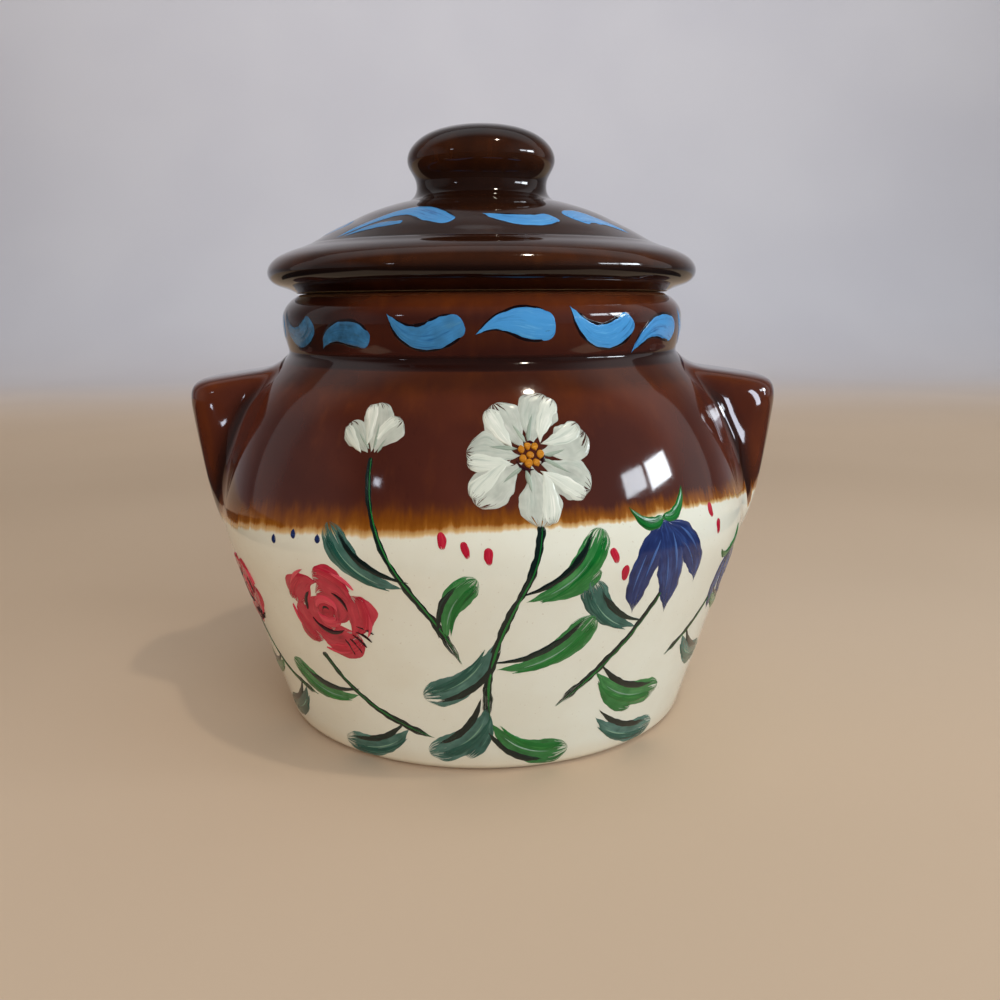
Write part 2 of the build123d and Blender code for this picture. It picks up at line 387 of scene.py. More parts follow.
def build_lug():
    n = 300 if FINE else 150
    a = np.radians(np.linspace(-80, 80, n))
    b = np.radians(np.linspace(-66, 74, n))
    ta, tb = np.meshgrid(np.tan(a), np.tan(b), indexing="ij")
    d = np.stack([np.ones_like(ta), ta, tb], -1).reshape(-1, 3)
    d /= np.linalg.norm(d, axis=1)[:, None]
    c = np.array([47.5, 0.0, 78.0])
    lo_t = np.zeros(len(d))
    hi_t = np.full(len(d), np.nan)
    for t in np.linspace(1.0, 62.0, 90):
        f = union_sdf(c + d * t)
        hit = (f > 0) & np.isnan(hi_t)
        hi_t[hit] = t
        open_ = np.isnan(hi_t)
        lo_t[open_] = t
    hi_t = np.where(np.isnan(hi_t), 62.0, hi_t)
    for _ in range(22):
        mid = (lo_t + hi_t) / 2
        f = union_sdf(c + d * mid[:, None])
        lo_t = np.where(f > 0, lo_t, mid)
        hi_t = np.where(f > 0, mid, hi_t)
    p = c + d * ((lo_t + hi_t) / 2)[:, None]
    rise = body_sdf(p)
    core = (rise > 0.012).reshape(n, n)
    # keep every cell with a proud corner, then one ring more
    cell = core[:-1, :-1] | core[1:, :-1] | core[:-1, 1:] | core[1:, 1:]
    wide = cell.copy()
    wide[1:, :] |= cell[:-1, :]
    wide[:-1, :] |= cell[1:, :]
    wide[:, 1:] |= cell[:, :-1]
    wide[:, :-1] |= cell[:, 1:]
    idx = np.arange(n * n).reshape(n, n)
    # surface normal of the belly, to sink the rim of the patch and the root
    eps = 0.05
    g = np.stack([body_sdf(p + np.eye(3)[k] * eps) - body_sdf(p - np.eye(3)[k] * eps)
                  for k in range(3)], -1)
    g /= np.linalg.norm(g, axis=1)[:, None]
    low = ~core.ravel()
    front = p - g * (np.where(low, rise + 0.03, 0.0))[:, None]
    back = p - g * (rise + 0.6)[:, None]
    gi, gj = np.nonzero(wide)
    quads = np.stack([idx[gi, gj], idx[gi + 1, gj], idx[gi + 1, gj + 1], idx[gi, gj + 1]], -1)
    used = np.unique(quads)
    remap = -np.ones(n * n, int)
    remap[used] = np.arange(len(used))
    q = remap[quads]
    m = len(used)
    verts = np.concatenate([front[used], back[used]])
    faces = [tuple(f) for f in q] + [tuple(f[::-1] + m) for f in q]
    edges = {}
    for f in q:
        for e in range(4):
            edges[(int(f[e]), int(f[(e + 1) % 4]))] = True
    for (u, v) in list(edges):
        if (v, u) not in edges:
            faces.append((v, u, u + m, v + m))
    # where the glaze has drawn thin: the upright outer edges and the top edge
    fp = front[used]
    x, y, z = fp[:, 0], fp[:, 1], fp[:, 2]
    top = (z - (92.2 + (81.3 - x) * 0.146 - 0.0016 * y * y)) * 0.985
    rho = np.hypot(x - 34.0, y)
    out = rho - (np.interp(np.clip(z, 36.5, 96), lo[:, 1], lo[:, 0]) - 34.0)
    half = np.interp(np.clip(z, 42.7, 88), ls[:, 1], ls[:, 0])
    side = np.abs(y) - half
    e1 = np.exp(-((top + 0.8) / 1.6) ** 2) * np.maximum(np.exp(-((out + 0.8) / 2.0) ** 2),
                                                        np.exp(-((side + 0.8) / 2.0) ** 2))
    e2 = np.exp(-((out + 1.0) / 2.2) ** 2) * np.exp(-((side + 1.0) / 2.4) ** 2)
    gap = body_sdf(fp) - lug_sdf(fp)
    th = 0.50 * np.clip(np.maximum(e1, 0.7 * e2), 0, 1) + 0.10 * smooth(gap, 3.0, 9.0)
    zero = np.zeros(m)
    # dark brown lying in the crease between tab and belly, partly thick glaze, partly painted shade
    crease = np.exp(-(gap / np.where(gap > 0, 4.4, 1.7)) ** 2) * (1 - smooth(z, 86, 95))
    dk = np.maximum(crease, 0.14 * smooth(gap, 1.0, 5.0))
    attrs = {"thin": np.concatenate([th, zero]), "pool_and_shade": np.concatenate([dk, zero]),
             "inside": np.zeros(2 * m), "bare": np.zeros(2 * m)}
    return verts, faces, attrs


lv, lf, la = build_lug()
lug_r = make_mesh("lug_right_glazed", lv, [f[::-1] for f in lf], la)
lug_l = make_mesh("lug_left_glazed", lv * np.array([-1, 1, 1]), lf, la)
for ob, node in ((lug_r, "lug_handle_right"), (lug_l, "lug_handle_left")):
    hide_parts(node)
    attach(ob, "pot")

# =====================================================================
# Brush strokes: thin closed skins laid on the turned surfaces
# =====================================================================
class Surface:
    """Outer surface of revolution with arc-length coordinate s."""

    def __init__(self, prof, shift=None):
        p = np.asarray(prof, float)
        s = np.concatenate([[0], np.cumsum(np.linalg.norm(np.diff(p, axis=0), axis=1))])
        ok = np.concatenate([[True], np.diff(s) > 1e-9])
        self.s, self.r, self.z = s[ok], p[ok, 0], p[ok, 1]
        self.tr = np.gradient(self.r, self.s)
        self.tz = np.gradient(self.z, self.s)
        self.shift = shift

    def s_of_z(self, z):
        return np.interp(z, self.z, self.s)

    def s_of_r_falling(self, r):
        return np.interp(-np.asarray(r, float), -self.r, self.s)

    def at(self, th, s, h):
        r = np.interp(s, self.s, self.r)
        z = np.interp(s, self.s, self.z)
        tr = np.interp(s, self.s, self.tr)
        tz = np.interp(s, self.s, self.tz)
        ln = np.hypot(tr, tz)
        nr, nz = tz / ln, -tr / ln
        if self.shift is not None:
            r = r + self.shift(th, z)
        rr, zz = r + nr * h, z + nz * h
        return np.stack([rr * np.sin(th), -rr * np.cos(th), zz], -1)


S_body = Surface(body_out, wobble)
dome_up = lid_top[::-1]
dome_up = dome_up[np.argmax(dome_up[:, 0]):]
S_lid = Surface(dome_up, lambda th, z: (0.05 * np.sin(2 * th + 1.9)
                                        + 0.035 * np.sin(3 * th - 0.6 + z / 12.0)
                                        + 0.02 * np.sin(6 * th + z / 5.0))
                * smooth(z, 117.0, 121.0) * (1 - smooth(z, 137.0, 138.8)))


class Paint:
    """Collects strokes of one colour on one body into one mesh."""

    def __init__(self, name, surf, body):
        self.name, self.surf, self.body = name, surf, body
        self.v, self.f, self.uv, self.tone, self.shade, self.wash, self.n = [], [], [], [], [], [], 0
        self.count = 0

    def stroke(self, pts, widths, h=0.16, caps=("round", "point"), rough=0.10,
               lift=0.0, nv=13, step=0.45, wash=0.0):
        """pts: (theta in radians, s in mm) of the spine; widths: (fraction, left, right)."""
        surf = self.surf
        pts = np.asarray(pts, float)
        rm = float(np.interp(pts[:, 1].mean(), surf.s, surf.r))
        flat = np.stack([pts[:, 0] * rm, pts[:, 1]], -1)
        c = curve(flat, step=0.25) if len(flat) > 2 else line(flat[0], flat[1], 0.25)
        d = np.concatenate([[0], np.cumsum(np.linalg.norm(np.diff(c, axis=0), axis=1))])
        length = d[-1]
        nu = max(14, int(length / step))
        u = 0.5 - 0.5 * np.cos(np.linspace(0, math.pi, nu))
        u = 0.55 * u + 0.45 * np.linspace(0, 1, nu)
        cx, cy = np.interp(u * length, d, c[:, 0]), np.interp(u * length, d, c[:, 1])
        tx, ty = np.gradient(cx), np.gradient(cy)
        ln = np.hypot(tx, ty) + 1e-12
        nx, ny = -ty / ln, tx / ln
        w = np.asarray(widths, float)
        if w.shape[1] == 2:
            w = np.concatenate([w, w[:, 1:2]], 1)

        def widths_at(col):
            k = np.interp(u, w[:, 0], w[:, col])
            ker = np.exp(-0.5 * (np.arange(-4, 5) / 1.8) ** 2)
            kk = np.convolve(np.pad(k, 4, "edge"), ker / ker.sum(), "valid")
            kk[0], kk[-1] = k[0], k[-1]
            return kk

        wl, wr = widths_at(1), widths_at(2)
        for end, cap in ((0, caps[0]), (1, caps[1])):
            dist = (u if end == 0 else 1 - u) * length
            e = max(0.35, float(np.interp(0.08 if end == 0 else 0.92, u, (wl + wr) / 2)) * 1.15)
            if cap == "round":
                g = np.sqrt(np.clip(1 - (1 - np.clip(dist / e, 0, 1)) ** 2, 0, 1))
            elif cap == "blunt":
                g = np.clip(1 - (1 - np.clip(dist / (0.55 * e), 0, 1)) ** 3, 0, 1) ** 0.5
            else:
                g = np.clip(dist / (e * 3), 0, 1) ** 0.8
            wl, wr = wl * g, wr * g
        ph = rng.uniform(0, 6.28, 4)
        jag = rough * (np.sin(d[-1] * u / 0.9 + ph[0]) * 0.5 + np.sin(d[-1] * u / 0.43 + ph[1]) * 0.35
                       + np.sin(d[-1] * u / 2.1 + ph[2]) * 0.7)
        jag2 = rough * (np.sin(d[-1] * u / 0.8 + ph[3]) * 0.5 + np.sin(d[-1] * u / 0.47 + ph[0]) * 0.35
                        + np.sin(d[-1] * u / 1.8 + ph[1]) * 0.7)
        wl = np.maximum(wl + jag * np.clip(wl, 0, 1), 0.0)
        wr = np.maximum(wr + jag2 * np.clip(wr, 0, 1), 0.0)
        vv = np.sin(np.linspace(-1, 1, nv) * math.pi / 2)
        off = np.where(vv < 0, wl[:, None] * vv[None, :], wr[:, None] * vv[None, :])
        px = cx[:, None] + nx[:, None] * off
        py = cy[:, None] + ny[:, None] * off
        # thickness: rounded edges, a ridge where the brush let go, bristle tracks
        wid = np.clip((wl + wr)[:, None] / 1.6, 0, 1)
        edge = np.clip(1 - np.abs(vv[None, :]) ** 3.2, 0, 1)
        ridge = 0.55 * np.exp(-((np.abs(vv[None, :]) - 0.80) / 0.13) ** 2)
        tracks = sum(a * np.sin(k * vv[None, :] * 3.1 + rng.uniform(0, 6.28) + 1.5 * np.sin(u[:, None] * 5 + k))
                     for k, a in ((4, 0.16), (7, 0.14), (11, 0.10)))
        hh = h * wid * edge * (0.72 + ridge + tracks * 0.8) + lift * edge
        hh[:, 0] = hh[:, -1] = -0.03
        hh[0, :] = hh[-1, :] = -0.03
        top = surf.at(px / rm, py, hh)
        bot = surf.at(px / rm, py, np.full_like(hh, -0.10))
        m = nu * nv
        i = np.arange(m).reshape(nu, nv)
        q = np.stack([i[:-1, :-1], i[1:, :-1], i[1:, 1:], i[:-1, 1:]], -1).reshape(-1, 4)
        base = self.n
        self.v.append(top.reshape(-1, 3))
        self.v.append(bot.reshape(-1, 3))
        ring = np.concatenate([i[:, 0], i[-1, 1:], i[-2::-1, -1], i[0, -2:0:-1]])
        nxt = np.roll(ring, -1)
        side = np.stack([nxt, ring, ring + m, nxt + m], -1)
        self.f.append(q[:, ::-1] + base)
        self.f.append(q + m + base)
        self.f.append(side[:, ::-1] + base)
        uu = np.repeat(u * length / 10.0, nv) + self.count * 7.31
        v2 = np.tile(np.linspace(0, 1, nv), nu)
        wr_ = np.stack([uu, v2], -1)
        self.uv.append(wr_)
        self.uv.append(wr_)
        t = np.repeat(u, nv)
        self.tone.append(t)
        self.tone.append(t)
        self.shade.append(np.full(2 * m, rng.uniform()))
        self.wash.append(np.full(2 * m, wash))
        self.n += 2 * m
        self.count += 1

    def make(self, mat):
        v = np.concatenate(self.v)
        f = np.concatenate(self.f)
        ob = make_mesh(self.name, v, f, {"along": np.concatenate(self.tone),
                                          "shade": np.concatenate(self.shade),
                                          "wash": np.concatenate(self.wash)},
                       np.concatenate(self.uv))
        ob.data.materials.append(mat)
        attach(ob, self.body)
        return ob


def on_body(pts):
    """(theta in degrees, z in mm) points on the pot."""
    p = np.asarray(pts, float)
    return np.stack([np.radians(p[:, 0]), S_body.s_of_z(p[:, 1])], -1)


def on_lid(pts):
    """(theta in degrees, r in mm) points on the dome."""
    p = np.asarray(pts, float)
    return np.stack([np.radians(p[:, 0]), S_lid.s_of_r_falling(p[:, 1])], -1)


def local(anchor_theta, anchor_z, pts, rot=0.0, scale=1.0, flip=1):
    """Flat millimetre points about an anchor on the pot's outside."""
    p = np.asarray(pts, float) * scale
    c, s = math.cos(math.radians(rot)), math.sin(math.radians(rot))
    x = (p[:, 0] * flip) * c - p[:, 1] * s
    y = (p[:, 0] * flip) * s + p[:, 1] * c
    s0 = float(S_body.s_of_z(anchor_z))
    r0 = float(np.interp(s0, S_body.s, S_body.r))
    return np.stack([np.radians(anchor_theta) + x / r0, s0 + y], -1)


# ---- comma borders ---------------------------------------------------
border = Paint("collar_border_strokes", S_body, "pot")
border_pool_and_shadow = Paint("collar_border_pool_and_shadow", S_body, "pot")
dome = Paint("lid_border_strokes", S_lid, "lid")
dome_pool_and_shadow = Paint("lid_border_pool_and_shadow", S_lid, "lid")
F8 = np.linspace(0, 1, 8)


def comma(paint, edge, pts, half, wash=0.0, rough=0.12):
    """One blue stroke, tail first, over a slightly wider dark line: partly pooled glaze, partly painted shadow of the
    stroke.
    """
    w = np.stack([np.linspace(0, 1, len(half)), half], -1)
    paint.stroke(pts, w, h=0.12, caps=("point", "blunt"), rough=rough, nv=25, wash=wash)
    edge.stroke(pts, w + np.array([0, 0.42]), h=0.045, caps=("point", "round"), rough=0.10, nv=17)


# spines (degrees, mm) and half-widths (mm) of the strokes on the collar's front
front = [
    ([(-45.2, 101.6), (-43.2, 103.6), (-40.9, 105.0), (-38.2, 105.7), (-35.4, 105.7),
      (-32.7, 105.3), (-30.2, 104.5), (-28.1, 103.6)],
     [0.1, 1.1, 1.9, 2.4, 2.75, 3.05, 2.7, 1.9], 0.70),
    ([(-23.0, 110.2), (-20.7, 107.7), (-18.3, 105.8), (-15.2, 104.8), (-11.9, 104.9),
      (-8.7, 106.0), (-5.7, 107.2), (-3.6, 108.1)],
     [0.05, 0.85, 1.9, 2.6, 3.1, 3.5, 3.2, 2.3], 0.40),
    ([(-0.9, 105.2), (1.8, 106.9), (4.5, 108.0), (7.3, 108.3), (10.1, 108.2),
      (13.1, 107.6), (16.0, 107.2), (18.7, 107.3)],
     [0.05, 0.6, 1.45, 2.6, 3.6, 3.95, 3.4, 2.7], 0.06),
    ([(22.6, 111.7), (24.5, 108.9), (26.8, 106.6), (29.8, 105.1), (33.0, 104.6),
      (36.3, 105.2), (39.2, 106.9), (41.2, 109.0)],
     [0.05, 0.9, 1.7, 2.4, 3.0, 3.35, 3.3, 2.7], 0.0),
    ([(42.9, 100.2), (45.2, 102.8), (48.2, 104.9), (51.6, 106.2), (55.2, 106.6),
      (58.9, 106.3), (62.5, 105.5), (65.0, 104.0)],
     [0.05, 1.1, 1.8, 2.3, 2.85, 3.3, 3.3, 2.4], 0.0),
]
for pts, half, wash in front:
    comma(border, border_pool_and_shadow, on_body(pts), half, wash)
CUP, W_CUP = np.array(front[3][0]) - (33.0, 0), np.array(front[3][1])
CAP, W_CAP = np.array(front[2][0]) - (9.5, 0), np.array(front[2][1])
ring = [(80.0 + 22.25 * (k - 1), k % 2) for k in range(1, 12)]
for t, cup in ring:
    shape, w = (CUP, W_CUP) if cup else (CAP, W_CAP)
    p = shape * (rng.uniform(0.94, 1.04), 1) + (t, rng.uniform(-0.9, 0.1)) + rng.normal(0, 0.14, shape.shape)
    comma(border, border_pool_and_shadow, on_body(p), w * rng.uniform(0.92, 1.03),
          0.75 if t > 300 else rng.uniform(0, 0.2))

# and on the dome (degrees, radius in mm): a long one with its tail at the left and
# a split lobe under it, a flat-topped one in the middle, a streaky one at the right
comma(dome, dome_pool_and_shadow, on_lid([(-50.0, 46.0), (-46.0, 42.0), (-41.5, 38.4), (-36.5, 35.6), (-31.0, 34.2),
                               (-26.0, 34.3), (-21.0, 35.6), (-16.0, 37.6), (-12.0, 39.4), (-9.0, 40.6)]),
      [0.2, 0.9, 1.5, 1.8, 2.1, 2.6, 3.2, 3.6, 3.1, 1.9], 0.10)
comma(dome, dome_pool_and_shadow, on_lid([(-46.5, 45.6), (-41.0, 42.8), (-36.0, 41.3), (-31.0, 40.7), (-27.0, 40.4)]),
      [0.2, 1.0, 1.5, 1.5, 1.0], 0.25)
comma(dome, dome_pool_and_shadow, on_lid([(0.8, 36.5), (5.5, 38.1), (10.0, 39.3), (15.5, 40.0), (20.0, 40.0),
                               (24.5, 39.1), (28.0, 38.0)]),
      [0.1, 1.5, 2.6, 3.2, 3.3, 3.1, 2.4], 0.0)
comma(dome, dome_pool_and_shadow, on_lid([(58.0, 44.2), (53.5, 40.8), (48.0, 38.0), (42.0, 37.0), (36.0, 38.8)]),
      [0.2, 1.7, 3.3, 4.2, 4.2], 0.0, 0.20)
D_CUP, D_CAP = np.array([-10.2, -6.8, -3.0, 1.6, 6.4, 10.6]), np.array([-11.0, -7.2, -2.6, 2.4, 7.0, 11.0])
for k, t in enumerate((104.0, 141.0, 178.0, 214.0, 250.0, 286.0)):
    th, rr = (D_CUP, [35.6, 38.6, 40.4, 41.0, 39.8, 37.6]) if k % 2 else (D_CAP, [42.2, 38.9, 37.0, 36.8, 37.8, 39.2])
    p = np.stack([th * rng.uniform(1.15, 1.3) + t, np.array(rr) + rng.normal(0, 0.2, 6)], -1)
    comma(dome, dome_pool_and_shadow, on_lid(p), np.array([0.1, 1.2, 2.3, 3.1, 3.5, 2.8]) * rng.uniform(0.94, 1.04),
          rng.uniform(0, 0.15))

# ---- generic sprigs on the front -------------------------------------
white = Paint("daisy_petal_strokes", S_body, "pot")
grey = Paint("daisy_shade_strokes", S_body, "pot")
amber = Paint("daisy_centre_dabs", S_body, "pot")
navy = Paint("bellflower_strokes", S_body, "pot")
sky = Paint("bellflower_light_strokes", S_body, "pot")
red = Paint("blossom_strokes_crimson", S_body, "pot")
rose = Paint("blossom_strokes_rose", S_body, "pot")
dark = Paint("blossom_strokes_dark", S_body, "pot")
green = Paint("leaf_strokes_green", S_body, "pot")
teal = Paint("leaf_strokes_teal", S_body, "pot")
ink = Paint("stem_and_vein_strokes", S_body, "pot")
pale = Paint("leaf_light_strokes", S_body, "pot")


def bent(a, b, bow, f0=0.0, f1=1.0, side=0.0, n=5):
    """Flat spine from a to b bowed sideways, optionally a shifted part of it."""
    a, b = np.array(a, float), np.array(b, float)
    d = b - a
    nrm = np.array([-d[1], d[0]]) / np.hypot(*d)
    f = np.linspace(f0, f1, n)[:, None]
    return a + d * f + nrm * (bow * 4 * f * (1 - f) + side)


def petal(anchor, ang, r_in, r_out, width, bow=0.0, order=0):
    """One loaded-brush petal: a broad press, a second narrower one, thin grey drags."""
    t = math.radians(ang)
    u = np.array([math.cos(t), math.sin(t)])
    a, b = u * r_in, u * r_out
    lift = 0.03 * (order % 3)
    sgn = 1 if rng.uniform() < 0.5 else -1
    white.stroke(local(anchor[0], anchor[1], bent(a, b, bow)),
                 [(0, 0.26 * width), (0.22, 0.58 * width), (0.52, 0.94 * width),
                  (0.78, width), (1, 0.80 * width)],
                 h=0.20, caps=("point", "round"), rough=0.30, nv=27, lift=lift, wash=0.55)
    white.stroke(local(anchor[0], anchor[1], bent(a, b * 0.985, bow, 0.12, 0.99, sgn * 0.40 * width)),
                 [(0, 0.10 * width), (0.35, 0.34 * width), (0.75, 0.50 * width), (1, 0.40 * width)],
                 h=0.16, caps=("point", "round"), rough=0.22, nv=19, lift=lift + 0.14, wash=0.0)
    grey.stroke(local(anchor[0], anchor[1], bent(a, b, bow, 0.05, rng.uniform(0.45, 0.62),
                                                 -sgn * rng.uniform(0.10, 0.30) * width)),
                [(0, 0.07 * width), (0.4, 0.15 * width), (1, 0.03)],
                h=0.08, caps=("point", "point"), rough=0.10, nv=9, lift=lift + 0.20)


# a big daisy on the brown band, right of the middle
D1 = (9.5, 79.5)
angs = [20, 71, 122, 172, 224, 275, 327]
for k in (0, 4, 2, 6, 1, 5, 3):
    petal(D1, angs[k] + rng.uniform(-5, 5), 2.0, 15.2 + rng.uniform(-1.3, 0.8),
          4.9 + rng.uniform(-0.4, 0.4), rng.uniform(-1.3, 1.3), k)
for k in range(8):
    a, rr = k * 2 * math.pi / 7 + rng.uniform(-0.2, 0.2), (0.0 if k == 7 else 2.1 + rng.uniform(-0.3, 0.3))
    c = np.array([math.cos(a) * rr, math.sin(a) * rr])
    p = np.array([c + (-0.7, rng.uniform(-0.4, 0.4)), c + (0.1, 0.2), c + (0.8, rng.uniform(-0.4, 0.4))])
    amber.stroke(local(D1[0], D1[1], p), [(0, 0.9), (0.5, 1.25), (1, 0.9)], h=0.30,
                 caps=("round", "round"), rough=0.20, nv=11, lift=0.30)
for a0, ln in ((196, 92), (318, 58), (62, 46)):
    t = np.radians(np.linspace(a0, a0 + ln, 6))
    dark.stroke(local(D1[0], D1[1], np.stack([np.cos(t), np.sin(t)], -1) * 3.1),
                [(0, 0.1), (0.5, 0.62), (1, 0.1)], h=0.1, caps=("point", "point"),
                rough=0.10, nv=9, lift=0.42)
# half-open bud high on the left of the band
D2 = (-21.0, 79.0)
for k, (ang, ro, w) in enumerate(((54, 11.0, 3.3), (132, 10.6, 3.2), (93, 13.0, 3.8))):
    petal(D2, ang, 1.2, ro, w, 0.7 * (1 - k), k)


def stem(pts, w0=0.7, w1=1.15, dry=True):
    """A pulled stem: thick where the brush is set down, with a paler side drag."""
    ink.stroke(on_body(pts), [(0, w0), (0.3, w0 * 0.85), (0.7, (w0 + w1) / 2), (0.9, w1), (1, 0.3 * w1)],
               h=0.16, caps=("round", "point"), rough=0.22, nv=13)
    p = on_body(pts)
    rm = float(np.interp(p[:, 1].mean(), S_body.s, S_body.r))
    green.stroke(p + np.array([0.32 / rm, 0]), [(0, 0.1), (0.4, 0.30 * w0), (0.8, 0.34 * w1), (1, 0.05)],
                 h=0.07, caps=("point", "point"), rough=0.12, nv=9, lift=0.15)


stem([(10.8, 65.0), (9.8, 57.0), (6.5, 47.0), (3.0, 36.0), (1.2, 25.0), (1.5, 15.0)], 0.95, 1.25)
stem([(-21.0, 79.0), (-20.5, 71.0), (-17.5, 60.0), (-12.0, 48.5), (-7.0, 39.0), (-4.0, 31.5)], 0.75, 1.1)
stem([(-36.0, 30.0), (-30.0, 21.5), (-21.0, 14.5), (-11.5, 10.0)], 0.8, 1.25)
stem([(36.5, 61.5), (38.0, 51.5), (33.5, 39.0), (25.0, 27.5), (16.0, 18.5)], 0.8, 1.2)
stem([(-66.0, 30.0), (-59.0, 22.5), (-50.0, 17.5), (-43.5, 15.5)], 0.6, 1.0)
stem([(62.5, 49.0), (60.0, 40.0), (52.5, 31.5), (44.5, 26.0)], 0.65, 1.0)


def blossom(anchor, size, turn=0.0):
    """Round blossom of pressed comma strokes, a curled heart and dark hatching."""
    s = size

    def arc(ang, rad, ln, n=6, grow=0.0):
        f = np.linspace(-0.5, 0.5, n)
        t = np.radians(ang + ln * f + turn)
        return np.stack([np.cos(t), np.sin(t)], -1) * (rad + grow * f)[:, None] * s

    for k, (ang, rad, ln, w) in enumerate((
            (180, 0.28, 200, 0.36), (10, 0.28, 200, 0.36), (268, 0.62, 96, 0.38), (196, 0.62, 84, 0.36),
            (344, 0.62, 84, 0.36), (128, 0.60, 82, 0.35), (52, 0.60, 82, 0.35))):
        ww = w * s
        red.stroke(local(anchor[0], anchor[1], arc(ang, rad, ln, grow=0.10)),
                   [(0, ww * 0.35), (0.25, ww * 0.82), (0.6, ww), (1, ww * 0.70)],
                   h=0.20, caps=("point", "round"), rough=0.32, nv=27, lift=0.03 * k, wash=0.4)
        if rad < 0.5:
            continue
        red.stroke(local(anchor[0], anchor[1], arc(ang + 8, rad + 0.13, ln * 0.7, grow=0.06)),
                   [(0, 0.05 * s), (0.5, 0.13 * s), (1, 0.09 * s)], h=0.14,
                   caps=("point", "round"), rough=0.16, nv=15, lift=0.03 * k + 0.16)
        rose.stroke(local(anchor[0], anchor[1], arc(ang - 4, rad + 0.20, ln * 0.45)),
                    [(0, 0.05), (0.5, 0.05 * s), (1, 0.05)], h=0.08,
                    caps=("point", "point"), rough=0.10, nv=9, lift=0.03 * k + 0.26)
    red.stroke(local(anchor[0], anchor[1], np.array([(-0.16, -0.04), (0.0, 0.03), (0.17, 0.02)]) * s),
               [(0, 0.20 * s), (0.5, 0.27 * s), (1, 0.18 * s)], h=0.20,
               caps=("round", "round"), rough=0.14, nv=17, lift=0.24)
    for ang, rad, ln, w in ((80, 0.22, 170, 0.11), (255, 0.22, 150, 0.13)):
        ww = w * s
        rose.stroke(local(anchor[0], anchor[1], arc(ang, rad, ln)),
                    [(0, ww * 0.3), (0.5, ww), (1, ww * 0.6)], h=0.16,
                    caps=("point", "round"), rough=0.14, nv=17, lift=0.30)
    for ang, rad, ln, w in ((250, 0.42, 105, 0.050), (95, 0.08, 190, 0.045), (150, 0.44, 58, 0.045),
                            (28, 0.44, 58, 0.040)):
        dark.stroke(local(anchor[0], anchor[1], arc(ang, rad, ln)),
                    [(0, 0.08), (0.35, w * s), (0.7, w * s), (1, 0.015 * s)],
                    h=0.09, caps=("point", "point"), rough=0.12, nv=9, lift=0.40)
    # short hatch marks on the lower right petals
    for j, ang in enumerate((286, 297, 308, 319, 330)):
        t = math.radians(ang + turn)
        u = np.array([math.cos(t), math.sin(t)])
        c = u * (0.56 + 0.02 * (j % 2)) * s
        dark.stroke(local(anchor[0], anchor[1], bent(c, c + u * 0.34 * s, 0.3)),
                    [(0, 0.06), (0.4, 0.42), (1, 0.10)], h=0.09,
                    caps=("round", "point"), rough=0.10, nv=9, lift=0.34)


blossom((-31.0, 42.5), 14.2, 8.0)
blossom((-63.5, 40.5), 11.0, -14.0)


def bell(anchor, rot, s):
    """Hanging bell of three broad strokes with lighter drags in each."""
    for k, (a, b, bow, w) in enumerate((
            ((-0.8, 0.0), (-7.4, -14.0), -1.7, 2.7), ((0.8, 0.0), (7.6, -13.4), 1.7, 2.6),
            ((0.0, 1.0), (0.2, -16.6), 0.5, 3.1))):
        w, lift = w * s, 0.04 * k
        a, b = np.array(a) * s, np.array(b) * s
        navy.stroke(local(anchor[0], anchor[1], bent(a, b, bow * s), rot),
                    [(0, 0.45 * w), (0.25, 0.9 * w), (0.5, w), (0.74, 0.74 * w),
                     (0.9, 0.32 * w), (1, 0.06)],
                    h=0.20, caps=("round", "point"), rough=0.26, nv=23, lift=lift, wash=0.3)
        for side, f0, f1, ww in ((0.34, 0.12, 0.62, 0.15), (-0.30, 0.30, 0.78, 0.09)):
            sky.stroke(local(anchor[0], anchor[1], bent(a, b, bow * s, f0, f1, side * w), rot),
                       [(0, 0.06), (0.4, ww * w), (1, 0.04)], h=0.08,
                       caps=("point", "point"), rough=0.08, nv=9, lift=lift + 0.18)
    for sx in (-1, 1):
        green.stroke(local(anchor[0], anchor[1], np.array([(0, 1.6), (2.0 * sx, 1.0), (4.4 * sx, 2.2),
                                                            (6.2 * sx, 5.0)]) * s, rot),
                     [(0, 0.8 * s), (0.4, 1.15 * s), (1, 0.12)], h=0.20,
                     caps=("round", "point"), rough=0.16, nv=13, lift=0.16)


bell((36.0, 62.0), 10, 1.42)
bell((63.0, 49.0), 20, 1.05)


